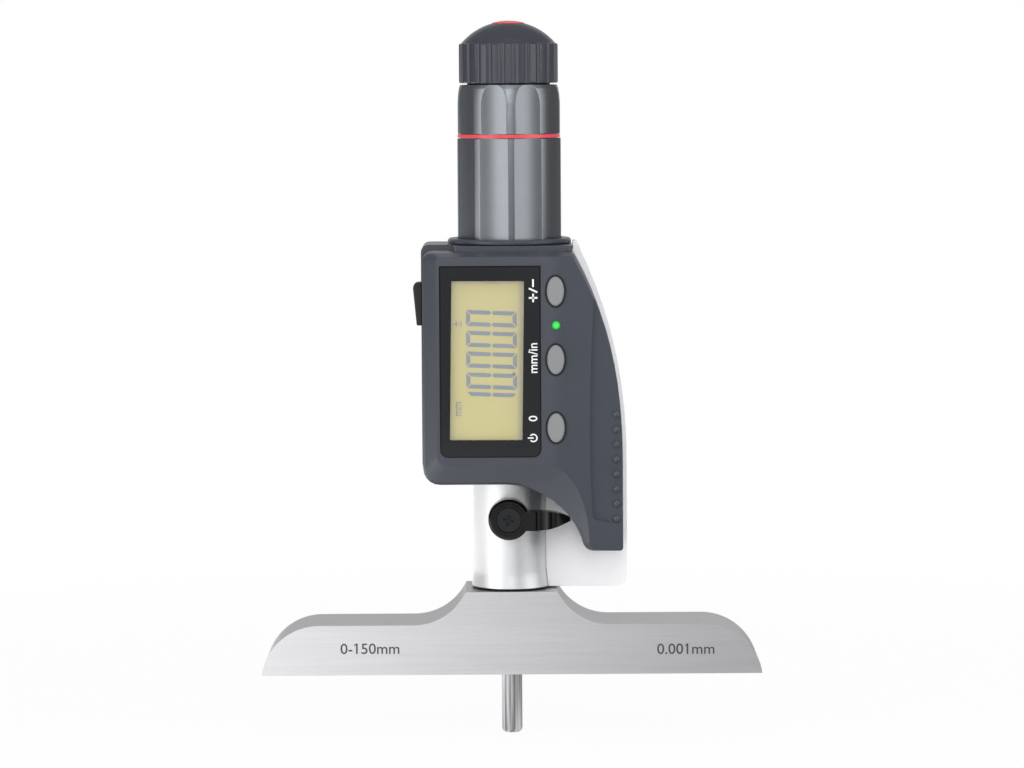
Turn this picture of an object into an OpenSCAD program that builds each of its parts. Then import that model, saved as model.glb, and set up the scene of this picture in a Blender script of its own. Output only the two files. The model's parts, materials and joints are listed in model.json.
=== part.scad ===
// Digital depth gauge with a T-shaped base, at real size in millimetres.
// The origin is on the spindle's axis in the plane of the measuring face; +Z runs up the spindle,
// +X is to the right of someone who reads the display, and the display faces -Y.

/* [Base] */
// Length of the measuring face
base_l = 101.6; // [80:0.1:150]
// Depth of the base, front to back
base_d = 17; // [16:0.1:24]
// Height of the arms
arm_h = 10.15; // [8:0.05:12]
// Height of the hub in the middle
hub_h = 16.86; // [14:0.02:18]
// Width of the flat on top of the hub
hub_w = 18.6; // [16:0.1:30]
// Radius of the rounded arm ends
end_r = 11.8; // [11:0.1:14]
// Radius of the hollow shoulders between hub and arms
shoulder_r = 11.8; // [9:0.1:14]
// Height of the step that the stem's spigot stands on
spigot_floor = 5.5; // [5:0.1:7]
// Radius of the stem's spigot in the base
spigot_r = 6.5; // [6:0.05:6.7]
// Radius of the two set screws that clamp the spigot
set_screw_r = 1.5; // [1:0.1:1.8]

/* [Stem] */
// Radius of the satin stem
stem_r = 7.65; // [7:0.05:7.8]
// Height of the stem's upper end
stem_top = 44.5; // [43:0.1:46]
// Height of the shadow groove where the stem meets the hub
stem_groove = 0.45; // [0.2:0.05:1]
// How much wider the stem is at its foot
stem_flare = 0.4; // [0.1:0.05:0.6]
// Height over which it widens
flare_h = 3.6; // [2:0.1:6]

/* [Measuring rod and spindle] */
// Radius of the measuring rod
rod_r = 2.1; // [1.8:0.05:2.2]
// How far the rod stands out below the measuring face
rod_out = 13.16; // [6:0.02:14]
// Full travel of the spindle
travel = 25; // [15:0.1:25]
// Rounding of the rod's tip
rod_tip_r = 1; // [0.3:0.1:1.2]
// Radius of the spindle's plain guide length
guide_r = 4; // [3.8:0.05:4.1]
// Radius of the spindle's threaded length
thread_r = 4.75; // [4.4:0.05:4.9]
// Width of the keyway that turns the encoder
key_w = 1.2; // [0.8:0.1:1.6]
// Depth of the keyway
key_depth = 0.8; // [0.5:0.1:1]

/* [Thimble] */
// Radius over the lands of the lower thimble
thimble_r = 10.55; // [10.3:0.05:10.7]
// How much smaller the part above the red ring is
thimble_step = 0.15; // [0:0.05:0.3]
// Height of the thimble's top at rest
thimble_top = 119.2; // [118.5:0.1:122]
// Height of the red ring's lower face
ring_z = 108.55; // [105:0.05:111]
// Thickness of the red ring
ring_t = 0.72; // [0.5:0.02:1.2]
// Number of flutes round the thimble
flutes = 9; // [6:1:12]
// Depth of a flute
flute_depth = 0.6; // [0.2:0.05:0.8]
// Radius of a flute's hollow
flute_r = 13; // [8:0.5:20]
// Angle of the land that faces the reader, to the right of the middle
land_angle = 2.5; // [0:0.5:20]
// Height of the rounded shoulder at the thimble's top
shoulder_h = 3.6; // [1:0.1:4]

/* [Speeder cap] */
// Radius over the ribs of the cap
cap_r = 10; // [9.8:0.05:10.6]
// Height of the ribbed side
cap_side = 7.6; // [6:0.1:9]
// Height of the dome above the ribbed side
dome_h = 4.85; // [4:0.05:6]
// Number of grooves round the cap
cap_grooves = 24; // [12:1:30]
// Radius of a groove
groove_r = 0.9; // [0.6:0.05:1]
// Depth of a groove
groove_depth = 0.35; // [0.15:0.05:0.5]
// Gap between cap and thimble
cap_gap = 0.35; // [0.2:0.05:0.8]
// Radius of the red insert
insert_r = 3.3; // [2:0.1:4]
// How far the insert stands above the dome
insert_proud = 0.12; // [0:0.02:0.4]

/* [Housing outline] */
// Left edge of the housing, from the spindle's axis
shell_left = 17.55; // [17:0.05:19]
// Height of the front housing's top
shell_top = 86; // [85:0.1:88]
// Right edge of the grip, from the spindle's axis
side_right = 22.5; // [22.2:0.05:26]
// Height where the right side starts to lean in
side_z = 42; // [36:0.5:50]
// How far the right side has leaned in at the top
side_lean = 9.8; // [8:0.1:10.5]
// Sharpness of that lean
side_power = 2.5; // [2:0.1:3]
// Height of the grip's foot
foot_z = 25.8; // [24.2:0.05:28]
// Rounding of the grip's foot on the inner side
foot_r = 2.3; // [1.4:0.1:2.6]
// Centre of the hollow under the housing, sideways
mouth_x = -0.6; // [-1:0.1:0.2]
// Centre of that hollow, upwards
mouth_z = 25.4; // [24.8:0.1:25.6]
// Half the width of the hollow
mouth_a = 15.3; // [14.8:0.05:15.6]
// Height of the hollow
mouth_b = 13.9; // [13.7:0.05:14.3]
// Rounding of the upper left corner
corner_top_r = 2; // [1:0.1:3]
// Rounding of the lower left corner
corner_low_r = 3.3; // [1.5:0.1:3.5]

/* [Housing depth] */
// Distance of the front face from the spindle's axis
face_y = 17; // [16.8:0.1:20]
// Where the bevels round the face end
bevel_y = 13.6; // [13:0.1:14]
// Front face of the frame plate
frame_front = 3; // [2:0.1:3.4]
// Rear face of the frame plate
frame_rear = 5; // [4:0.1:5.2]
// Distance of the rear face from the spindle's axis
back_y = 13; // [12.9:0.1:15]
// Wall of the moulded housings
wall = 1.6; // [1.3:0.05:1.8]
// Width of the left bevel
bevel_left = 2.8; // [2:0.1:3.2]
// Width of the top bevel
bevel_top = 0.8; // [0.4:0.1:1.2]
// Height of the skirt below the face
skirt = 4.1; // [3.4:0.05:4.3]
// Where the face starts to fall away towards the grip
crease_x = 9.9; // [9.5:0.1:12]
// Fall of the grip side per millimetre of width
grip_fall = 0.245; // [0.2:0.005:0.28]

/* [Grip] */
// Left edge of the thumb scoop
scoop_x = 15.95; // [15.5:0.05:17]
// Lower end of the thumb scoop
scoop_z = 32.2; // [31:0.1:33]
// Depth of the scoop at its left edge
scoop_depth = 0.8; // [0.4:0.05:1]
// Number of grip bumps
bumps = 8; // [4:1:8]
// Distance between grip bumps
bump_pitch = 3; // [2.2:0.05:3.2]
// Radius of a grip bump
bump_r = 0.85; // [0.6:0.05:1]
// Height of the highest bump
bump_top = 53.35; // [50:0.05:58]
// How far the bumps lie from the grip's edge
bump_in = 1.3; // [1:0.1:2]

/* [Frame plate] */
// How far the plate stands out beyond the front housing on the right
frame_proud = 1.1; // [0.9:0.05:1.5]
// How far the plate's right edge has leaned in at the top
frame_lean = 9.3; // [8.6:0.1:9.5]
// Sharpness of that lean
frame_power = 2.25; // [2.1:0.05:2.4]
// Height of the plate's rounded top corner above the front housing
frame_ear = 1.6; // [0.6:0.1:1.8]
// Height of the plate's lower edge
plate_z = 17.3; // [17.1:0.05:22]
// Rounding of the plate's lower right corner
plate_corner = 2.5; // [1:0.1:4]
// Outer radius of the barrel that holds the encoder
barrel_r = 10.6; // [10.4:0.05:10.6]
// Height of the barrel's lower end
barrel_z = 41.6; // [41.5:0.1:42.5]

/* [Collar] */
// Radius of the ring round the thimble
collar_r = 12.5; // [12:0.05:12.9]
// Height of the collar's foot above the housing
collar_foot = 1.1; // [0.8:0.05:1.4]
// Thickness of the round ring on the foot
collar_t = 1.15; // [0.8:0.05:1.5]

/* [Display] */
// Width of the black-bordered window
window_w = 20.2; // [20:0.1:20.6]
// Height of the window
window_h = 38.3; // [38:0.1:38.6]
// Middle of the window, sideways
window_x = -3.95; // [-4.1:0.05:-3.8]
// Middle of the window, upwards
window_z = 64.25; // [64:0.05:64.5]
// Thickness of the window
window_t = 1; // [0.8:0.05:1.1]
// Rounding of the window's lower corners
window_corner = 1.6; // [0.5:0.1:2]
// Width of the display glass
lcd_w = 18.2; // [17:0.1:18.4]
// Height of the display glass
lcd_h = 33.4; // [32:0.1:33.6]
// Thickness of the display glass
lcd_t = 1.55; // [1.2:0.05:1.7]
// Width of a contact strip
strip_w = 1.6; // [1:0.1:2]
// Thickness of the circuit board
board_t = 1; // [0.8:0.05:1.1]

/* [Buttons] */
// Middle of the buttons, sideways
button_x = 9.1; // [9:0.05:9.2]
// Height of the middle button
button_z = 64.65; // [64:0.05:66]
// Distance between buttons
button_pitch = 13.65; // [12:0.05:13.8]
// Width of a button
button_w = 3.4; // [3:0.05:3.5]
// Height of a button
button_h = 5.8; // [5:0.05:6]
// Wall of the black ring round a button
seal_wall = 0.36; // [0.25:0.01:0.4]
// How far a button stands out
button_proud = 0.3; // [0.1:0.05:0.6]
// How far a button travels
button_travel = 0.4; // [0.2:0.05:0.45]
// Radius of the status light
light_r = 0.85; // [0.6:0.05:1]
// Height of the status light
light_z = 71.5; // [71.2:0.05:71.8]

/* [Lock lever] */
// Height of the lever's screw
lock_z = 31.95; // [31.4:0.05:32]
// How far the screw lies to the right of the stem's middle
lock_x = -0.45; // [-0.6:0.05:0.2]
// Radius of the lever's round head
lever_r = 4.15; // [3.8:0.05:4.3]
// Thickness of the lever's head
lever_t = 4.1; // [3.6:0.1:4.6]
// Distance from the screw to the lever's tip
lever_l = 12.55; // [11.5:0.05:12.6]
// Height of the lever's arm at its root
lever_h = 3.9; // [3:0.05:4]
// How far the arm lies below the screw's middle
lever_drop = 0.25; // [0:0.05:0.4]
// Radius of the lever's tip
lever_tip_r = 0.55; // [0.4:0.05:0.8]
// How far the tip lies below the screw's middle
tip_drop = 0.25; // [0:0.05:0.4]
// Radius of the lock screw's head
lock_head_r = 2.5; // [2.2:0.05:2.7]
// Radius of the lock screw's shank
lock_screw_r = 1.4; // [1.2:0.05:1.5]

/* [Data port] */
// Height of the port's middle
port_z = 75.5; // [75:0.1:76]
// Height of the port
port_h = 7.6; // [6:0.1:7.8]
// Width of the port, front to back
port_d = 4.2; // [3:0.1:4.4]
// Distance of the port's middle in front of the axis
port_y = 8.6; // [8.4:0.1:9]
// How far the rubber cover stands out at its top
cover_out = 1.85; // [1.2:0.05:2.4]
// Overlap of the rubber cover round the port
cover_lip = 0.5; // [0.3:0.05:0.7]

/* [Battery] */
// Radius of the button cell
cell_r = 5.8; // [5:0.05:5.8]
// Thickness of the button cell
cell_t = 5.4; // [4:0.1:5.4]
// Middle of the cell, sideways
cell_x = 15; // [14.9:0.05:15]
// Height of the cell's middle
cell_z = 50; // [48:0.1:52]
// How far the cover stands out beyond its plug
battery_rim = 0.9; // [0.6:0.1:1]
// Radius of the battery cover
battery_cap_r = 6.9; // [6.8:0.05:7]
// Width of the coin slot
coin_slot = 1.5; // [1:0.1:2]

/* [Shell screws] */
// Radius of a shell screw
screw_r = 1; // [0.8:0.05:1.1]
// Radius of a shell screw's head
screw_head_r = 1.9; // [1.6:0.05:2]
// Distance of the corner screws from the housing's edges
screw_in = 3.15; // [3:0.05:3.3]

/* [Clearances] */
// Gap round a shaft that turns or slides
run_gap = 0.05; // [0.03:0.01:0.08]
// Gap round a piece that is fitted by hand
fit_gap = 0.03; // [0.02:0.01:0.06]
// Gap round a piece that sits loosely or passes by
loose_gap = 0.2; // [0.12:0.01:0.3]

/* [Hidden] */
$fn = 64;
foot_turn = 20;

// motion: how far the spindle can rise and fall from the modelled reading
travel_up = rod_out;
travel_down = travel - rod_out;

// base
end_x = base_l / 2 - sqrt(end_r * end_r - pow(end_r - arm_h, 2));
shoulder_x = hub_w / 2 + sqrt(pow(shoulder_r, 2) - pow(shoulder_r - hub_h + arm_h, 2));
bush_r = guide_r - 0.4;
bush_t = spigot_floor - 1.8;
set_screw_l = base_d / 2 - spigot_r - 0.3;

// collar and thimble
collar_top = shell_top + collar_foot + collar_t;
skirt_z = collar_top - travel_up - 1.6;
barrel_top = skirt_z - travel_down - 2.6;
thimble_bore = thimble_r - 1.85;
upper_r = thimble_r - thimble_step;
ring_groove_r = upper_r - 0.7;
collar_bore = thimble_r + loose_gap;

// encoder stack
chamber_r = barrel_r - 1.1;
stator_t = 1.2;
rotor_gap = 0.3;
rotor_disc_t = 1;
rotor_hub = 2;
rotor_z = stem_top + stator_t + rotor_gap;
rotor_top = rotor_z + 4.5;

// screw
sleeve_z = rotor_top + 0.5;
sleeve_r = thimble_bore - 0.8;
sleeve_top = shell_top + 0.5;
nut_l = 12.2;
nut_r = sleeve_r - 1.45;
adjuster_h = 3.5;
adjuster_z = sleeve_top - 1.4 * adjuster_h;
thread_z = rotor_top + travel_down + 0.16;
web_z = sleeve_top + travel_down + 1.6;
seat_z = web_z + 4;
seat_r = thread_r - 0.15;
web_top = thimble_top - 5.2;
spindle_z = lock_z - travel_up - 2.6;
spindle_end_r = seat_r - 0.7;
spindle_top = thimble_top + 1.8;
spindle_bore = rod_r + 0.3;

// cap
cap_z = thimble_top + cap_gap;
cap_shoulder = cap_z + cap_side;
cap_top = cap_shoulder + dome_h;
rim_r = cap_r - 0.45;
dome_r = (rim_r * rim_r + pow(dome_h - 0.4, 2)) / (2 * (dome_h - 0.4));
neck_r = upper_r - 2;
post_r = seat_r + 0.9;
post_top = cap_top - 5.6;
rod_head = spindle_top + 4;
wheel_z = web_top + 3.05;
bearing_z = cap_z + 2.95;

// frame plate and barrel
slot_r = thimble_r + 0.75;

// front stack, counted from the face towards the axis
window_back = face_y - window_t;
shell_inner = face_y - wall;
lcd_front = window_back - 0.05;
lcd_back = lcd_front - lcd_t;
board_front = 12.9;
board_back = board_front - board_t;
board_left = 12;
board_right = 11.4;
board_low = 44;
board_high = 82;
button_flange = 0.6;
button_rim = 0.5;
switch_w = 3.8;
switch_top = shell_inner - loose_gap - button_flange - button_travel - 0.06;

// lever
boss_front = stem_r + 0.7;
lever_back = boss_front + run_gap;
lever_front = lever_back + lever_t;
lock_floor = stem_r - 1.9;

// rear
rear_inner = back_y - 1.5;
cap_seat = back_y - 0.8;
battery_plug_r = battery_cap_r - battery_rim;
frame_top = shell_top;
rear_rise = 1.02;
neck_gap = 0.3;
stem_foot = hub_h + stem_groove;
flare_slope = stem_flare / flare_h;
frame_left = -shell_left + wall + 0.45;
plate_right = side_right + frame_proud;
ear_left = collar_r + 0.1 + 1.2 * loose_gap;

// places of the shell screws, as sideways and upwards
screw_places = [
    [-shell_left + screw_in, shell_top - screw_in],
    [-shell_left + screw_in, mouth_z + mouth_b + screw_in + corner_low_r],
    [thimble_r + screw_in, shell_top - 2 * screw_in],
    [side_right - screw_in, foot_z + screw_in + bump_r]
];
boss_r = screw_r + 0.9;
screw_l = 9.5;

// ---- helpers ----

// points of an arc round (cx, cy)
function arc(cx, cy, r, from, to, n) =
    [for (i = [0:n]) let (a = from + (to - from) * i / n) [cx + r * cos(a), cy + r * sin(a)]];

// points of a soft corner between two ends, drawn towards the corner point
function soft(a, corner, b, n) =
    [for (i = [0:n]) let (t = i / n) (1 - t) * (1 - t) * a + 2 * t * (1 - t) * corner + t * t * b];

// points of an ellipse
function oval(w, h, n) = [for (i = [0:n - 1]) [w / 2 * cos(360 * i / n), h / 2 * sin(360 * i / n)]];

// an XZ outline pushed from y0 to y1
module prism_y(y0, y1) {
    translate([0, y1, 0]) rotate([90, 0, 0]) linear_extrude(y1 - y0) children();
}

// a round bar along Y from y0 to y1
module bar_y(x, z, r, y0, y1) {
    translate([x, y1, z]) rotate([90, 0, 0]) cylinder(r = r, h = y1 - y0);
}

// a tube or bar along Z
module tube(r, bore, z0, z1) {
    difference() {
        translate([0, 0, z0]) cylinder(r = r, h = z1 - z0);
        translate([0, 0, z0 - 1]) cylinder(r = bore, h = z1 - z0 + 2);
    }
}

// A housing outline is [left, top, grow, foot, mouth a, mouth b, mouth power, top corner, low corner].
outer_line = [shell_left, shell_top, 0, foot_z, mouth_a, mouth_b, 1.8, corner_top_r, corner_low_r];
face_line = [
    shell_left - bevel_left, shell_top - bevel_top, -0.9, foot_z + 0.85,
    mouth_a + 1.9, mouth_b + skirt, 4, corner_top_r / 2, corner_low_r - 1.1
];

// the right side at a height
function side_at(z, grow) =
    side_right + grow - side_lean * pow(max(0, z - side_z) / (shell_top - side_z), side_power);

// the angle at which the hollow meets the rounding of the grip's foot
function mouth_end(line) =
    asin(pow((line[3] + foot_r * (1 - sin(foot_turn)) - mouth_z) / line[5], line[6] / 2));

// the hollow under the housing is a rounded quarter with its own power
function mouth(line, n) =
    [for (i = [0:n]) let (a = 90 - (90 - mouth_end(line)) * i / n) [
        mouth_x + line[4] * pow(cos(a), 2 / line[6]),
        mouth_z + line[5] * pow(sin(a), 2 / line[6])
    ]];

// one closed housing outline, anticlockwise for the reader
function outline(line) =
    let (
        low = mouth_z + line[5],
        left = -line[0],
        top = line[1],
        foot = line[3],
        right = side_right + line[2],
        top_right = side_at(top, line[2]),
        hollow = mouth(line, 14)
    )
    concat(
        arc(left + line[8], low + line[8], line[8], 180, 270, 5),
        hollow,
        arc(hollow[14][0] + foot_r * cos(foot_turn), foot + foot_r, foot_r, 193 + foot_turn, 270, 4),
        arc(right - 0.6, foot + 0.6, 0.6, 270, 360, 3),
        [for (i = [0:13]) let (z = side_z - 4 + (top - side_z + 2.8) * i / 13) [side_at(z, line[2]), z]],
        soft([side_at(top - 0.7, line[2]), top - 0.7], [top_right, top], [top_right - 0.9, top], 3),
        arc(left + line[7], top - line[7], line[7], 90, 180, 5)
    );

// an outline part way between two others
function between(a, b, t) = a + (b - a) * t;

// an outline moved inwards all round by a wall
function inside(line, w) = [
    line[0] - w, line[1] - w, line[2] - w, line[3] + w, line[4] + w, line[5] + w, line[6],
    max(0.4, line[7] - w), max(0.8, line[8] - w)
];

// A solid through outlines, each given as [y, outline], from the front backwards. Both ends start
// from a point half way up the right side, which sees all the others.
module loft(levels) {
    rings = [for (level = levels) outline(level[1])];
    n = len(rings[0]);
    start = n - 18;
    points = [for (k = [0:len(levels) - 1]) for (p = rings[k]) [p[0], levels[k][0], p[1]]];
    last = len(levels) - 1;
    faces = concat(
        [[for (i = [0:n - 1]) (start + n - i) % n]],
        [for (k = [0:last - 1]) for (i = [0:n - 1])
            [k * n + i, k * n + (i + 1) % n, (k + 1) * n + (i + 1) % n, (k + 1) * n + i]],
        [[for (i = [0:n - 1]) last * n + (start + i) % n]]
    );
    polyhedron(points, faces);
}

// ---- base and stem ----

module base() color("silver") {
    difference() {
        prism_y(-base_d / 2, base_d / 2) difference() {
            union() {
                intersection() {
                    translate([-base_l / 2, 0]) square([base_l, arm_h]);
                    union() {
                        translate([-end_x, -end_r]) square([2 * end_x, 3 * end_r]);
                        for (s = [-1, 1]) translate([s * end_x, arm_h - end_r]) circle(r = end_r);
                    }
                }
                translate([-shoulder_x, 0]) square([2 * shoulder_x, hub_h]);
            }
            for (s = [-1, 1]) translate([s * shoulder_x, arm_h + shoulder_r]) circle(r = shoulder_r);
        }
        translate([0, 0, -1]) cylinder(r = bush_r + fit_gap, h = hub_h);
        translate([0, 0, bush_t]) cylinder(r = guide_r + 0.6, h = hub_h);
        translate([0, 0, spigot_floor]) cylinder(r = spigot_r + fit_gap, h = hub_h);
        for (z = set_screw_heights()) bar_y(0, z, set_screw_r + fit_gap, 0, base_d);
    }
}

// heights of the two set screws, shared out along the spigot
function set_screw_heights() =
    [for (t = [0.3, 0.75]) spigot_floor + (hub_h - spigot_floor) * t];

module rod_bush() color("goldenrod") tube(bush_r, rod_r + run_gap, 0.3, bush_t - 0.1);

module base_set_screws() color("dimgray") {
    for (z = set_screw_heights()) difference() {
        bar_y(0, z, set_screw_r, spigot_r + 0.05, spigot_r + 0.05 + set_screw_l);
        bar_y(0, z, set_screw_r / 2, spigot_r + set_screw_l - 0.7, base_d);
    }
}

module stem_sleeve() color("gainsboro") {
    difference() {
        union() {
            translate([0, 0, spigot_floor]) cylinder(r = spigot_r, h = hub_h - spigot_floor + 1);
            translate([0, 0, hub_h]) cylinder(r = spigot_r + neck_gap, h = 1);
            translate([0, 0, stem_foot]) cylinder(r = stem_r, h = stem_top - stem_foot);
            translate([0, 0, stem_foot]) cylinder(r1 = stem_r + stem_flare, r2 = stem_r - 0.02, h = flare_h);
            bar_y(lock_x, lock_z, lever_r - 0.7, -boss_front, -guide_r - 1);
        }
        translate([0, 0, spigot_floor - 1]) cylinder(r = guide_r + run_gap, h = stem_top);
        bar_y(lock_x, lock_z, lock_screw_r + fit_gap, -boss_front - 1, -lock_floor);
        bar_y(lock_x, lock_z, lock_screw_r - 0.2, -boss_front, 0);
    }
}

module lock_pin() color("gold") {
    bar_y(lock_x, lock_z, lock_screw_r - 0.2 - run_gap, -lock_floor + 0.05, -guide_r - run_gap - 0.05);
}

module lock_screw() color("black") {
    difference() {
        union() {
            bar_y(lock_x, lock_z, lock_screw_r, -lever_front + 0.9, -lock_floor - 0.05);
            bar_y(lock_x, lock_z, lock_head_r, -lever_front + 0.1, -lever_front + 1);
        }
        for (turn = [15, 105]) translate([lock_x, -lever_front, lock_z]) rotate([0, turn, 0])
            cube([2.2, 1.2, 0.55], center = true);
    }
}

module lock_lever() color("black") {
    over = lever_h / 2 - lever_drop;
    under = lever_h / 2 + lever_drop;
    arm_left = lock_head_r + 0.4;
    tip_z = -tip_drop;
    scallop_r = 1.75;
    scallop_depth = 0.7;
    scallop_x = lever_l * 0.54;
    scallop_pitch = 2.9;
    translate([lock_x, 0, lock_z]) difference() {
        union() {
            // round head with a raised rim
            rotate([90, 0, 0]) rotate_extrude() polygon([
                [0, lever_back], [lever_r, lever_back], [lever_r, lever_front - 0.9],
                [lever_r - 0.5, lever_front - 0.4], [lever_r - 0.95, lever_front - 0.4],
                [lever_r - 1.05, lever_front], [0, lever_front]
            ]);
            // arm, tapering to its tip
            prism_y(-lever_front, -lever_back - 0.5) polygon(concat(
                [[arm_left, over - 0.6], [arm_left + 0.4, over]],
                soft([lever_l * 0.5, over], [lever_l * 0.8, over],
                    [lever_l - lever_tip_r / 2, tip_z + lever_tip_r], 6),
                soft([lever_l - lever_tip_r / 5, tip_z + lever_tip_r / 2], [lever_l, tip_z],
                    [lever_l - lever_tip_r / 4, tip_z - lever_tip_r / 3], 3),
                soft([lever_l - lever_tip_r, tip_z - lever_tip_r * 0.7], [lever_l * 0.73, -under * 0.9],
                    [lever_l * 0.5, -under], 7),
                [[arm_left + 0.4, -under], [arm_left, -under + 0.6]]
            ));
        }
        // hollow for the screw's head, and its shank
        bar_y(0, 0, lock_head_r + 0.1, -lever_front - 1, -lever_front + 1.02);
        bar_y(0, 0, lock_screw_r + run_gap, -lever_front - 1, 0);
        // two finger scallops across the arm
        for (k = [0, 1])
            translate([scallop_x + k * scallop_pitch, -lever_front - scallop_r + scallop_depth, -lever_h])
                cylinder(r = scallop_r, h = 2 * lever_h);
        // the arm thins towards its tip
        translate([scallop_x + 1.6 * scallop_pitch, -lever_front - 2.6, -lever_h]) rotate([0, 0, 22])
            cube([6, 4, 2 * lever_h]);
    }
}

// ---- frame, sleeve and encoder ----

// right edge of the frame plate at a height
function frame_at(z) =
    plate_right - frame_lean * pow(max(0, z - side_z) / (frame_top - side_z), frame_power);

module frame_plate() color("whitesmoke") {
    difference() {
        union() {
            prism_y(-frame_front, frame_rear) polygon(concat(
                [[frame_left, barrel_z], [0, barrel_z], [0, plate_z]],
                arc(plate_right - plate_corner, plate_z + plate_corner, plate_corner, 270, 360, 8),
                [for (i = [0:12]) let (z = side_z + (frame_top - side_z) * i / 12) [frame_at(z), z]],
                soft(
                    [frame_at(frame_top), frame_top], [frame_at(frame_top) - 0.4, frame_top + frame_ear],
                    [ear_left + 0.3, frame_top + frame_ear], 4
                ),
                [[ear_left, frame_top + frame_ear], [ear_left, frame_top], [thimble_r, frame_top]],
                [[-thimble_r, frame_top - wall - 0.2], [frame_left, frame_top - wall - 0.2]]
            ));
            translate([0, 0, barrel_z]) cylinder(r = barrel_r, h = barrel_top - barrel_z);
        }
        // the lower part reaches only the stem's right side
        translate([-30, -20, 0]) cube([30, 40, barrel_z]);
        translate([0, 0, plate_z - 1]) cylinder(r = stem_r + fit_gap, h = stem_top);
        translate([0, 0, stem_foot - 1])
            cylinder(
                r1 = stem_r + stem_flare + flare_slope + 2 * fit_gap, r2 = stem_r + fit_gap, h = flare_h + 1.2
            );
        translate([0, 0, stem_top]) cylinder(r = chamber_r + fit_gap, h = shell_top);
        // room for the thimble above the barrel
        translate([0, 0, barrel_top]) cylinder(r = slot_r, h = shell_top);
        translate([-slot_r, -frame_front - 1, barrel_top])
            cube([2 * slot_r, frame_front + frame_rear + 2, shell_top]);
        for (p = screw_places) bar_y(p[0], p[1], screw_r + loose_gap, -face_y, back_y);
    }
}

module inner_sleeve() color("lightgray") {
    difference() {
        union() {
            translate([0, 0, sleeve_z]) cylinder(r = chamber_r, h = barrel_top - sleeve_z);
            translate([0, 0, sleeve_z]) cylinder(r = sleeve_r, h = sleeve_top - 5 - sleeve_z);
            translate([0, 0, sleeve_z]) cylinder(r = sleeve_r - 0.65, h = sleeve_top - sleeve_z);
        }
        translate([0, 0, sleeve_z - 1]) cylinder(r = thread_r + 0.35, h = sleeve_top);
        translate([0, 0, sleeve_top - nut_l - 0.1]) cylinder(r = nut_r + fit_gap, h = nut_l + 1);
    }
}

module screw_nut() color("goldenrod") {
    tube(nut_r, thread_r + run_gap, sleeve_top - nut_l, sleeve_top - 0.1);
}

module adjusting_nut() color("dimgray") {
    tube(sleeve_r + 0.45, sleeve_r - 0.65 + fit_gap, adjuster_z, adjuster_z + adjuster_h);
}

module encoder_stator() color("seagreen") {
    tube(chamber_r - 0.05, guide_r + 1.2, stem_top, stem_top + stator_t);
}

module encoder_rotor() color("darkseagreen") {
    difference() {
        union() {
            translate([0, 0, rotor_z]) cylinder(r = chamber_r - 0.3, h = rotor_disc_t);
            translate([0, 0, rotor_z]) cylinder(r = guide_r + rotor_hub, h = rotor_top - rotor_z);
        }
        translate([0, 0, rotor_z - 1]) cylinder(r = guide_r + run_gap, h = rotor_top);
    }
    // the key that runs in the spindle's keyway
    translate([-key_w / 2 + 0.1, guide_r - key_depth + 0.15, rotor_z + 1])
        cube([key_w - 0.2, key_depth + 0.4, rotor_top - rotor_z - 1]);
}

// ---- spindle, rod and thimble ----

module spindle() color("silver") {
    difference() {
        union() {
            translate([0, 0, spindle_z]) cylinder(r = guide_r, h = thread_z - spindle_z);
            translate([0, 0, thread_z]) cylinder(r = thread_r, h = seat_z - thread_z);
            translate([0, 0, seat_z]) cylinder(r = seat_r, h = web_top - seat_z);
            translate([0, 0, web_top]) cylinder(r = spindle_end_r, h = spindle_top - web_top);
        }
        translate([0, 0, spindle_z - 1]) cylinder(r = spindle_bore, h = spindle_top);
        translate([-key_w / 2, guide_r - key_depth, rotor_z - travel_up - 1])
            cube([key_w, 2, thread_z - 0.1 - rotor_z + travel_up + 1]);
    }
}

module measuring_rod() color("silver") {
    rotate_extrude() polygon(concat(
        [[0, -rod_out]],
        arc(rod_r - rod_tip_r, -rod_out + rod_tip_r, rod_tip_r, 270, 360, 6),
        [[rod_r, rod_head + 0.8], [0, rod_head + 0.8]]
    ));
}

module rod_nuts() color("dimgray") {
    for (z = [spindle_top, spindle_top + 2]) tube(spindle_end_r - 0.4, rod_r + fit_gap, z + 0.02, z + 1.9);
}

// cuts shared out round the axis
module round_cuts(count, first, distance, r, z0, z1) {
    for (k = [0:count - 1]) rotate([0, 0, first + 360 * k / count])
        translate([distance, 0, z0]) cylinder(r = r, h = z1 - z0);
}

module thimble() color("slategray") {
    difference() {
        rotate_extrude() polygon([
            [thimble_bore, skirt_z], [thimble_r - 0.2, skirt_z], [thimble_r, skirt_z + 0.2],
            [thimble_r, ring_z - 0.12], [ring_groove_r, ring_z - 0.12],
            [ring_groove_r, ring_z + ring_t + 0.1], [upper_r, ring_z + ring_t + 0.1],
            [upper_r, thimble_top - shoulder_h], [upper_r - 0.12, thimble_top - shoulder_h * 0.55],
            [upper_r - 0.33, thimble_top - shoulder_h * 0.2], [upper_r - 0.6, thimble_top],
            [neck_r + loose_gap, thimble_top], [neck_r + loose_gap, web_top],
            [seat_r + fit_gap, web_top], [seat_r + fit_gap, seat_z + 0.1],
            [thread_r + run_gap, seat_z + 0.1], [thread_r + run_gap, web_z], [thimble_bore, web_z]
        ]);
        round_cuts(flutes, land_angle - 90 + 180 / flutes, thimble_r + flute_r - flute_depth, flute_r,
            skirt_z - 1, thimble_top + 1, $fn = 96);
    }
}

module red_ring() color("crimson") tube(upper_r - 0.02, ring_groove_r + fit_gap, ring_z, ring_z + ring_t);

module thimble_nut() color("dimgray") {
    tube(neck_r - 1.5, spindle_end_r + fit_gap, web_top, wheel_z - 0.05);
}

// ---- ratchet and cap ----

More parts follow.
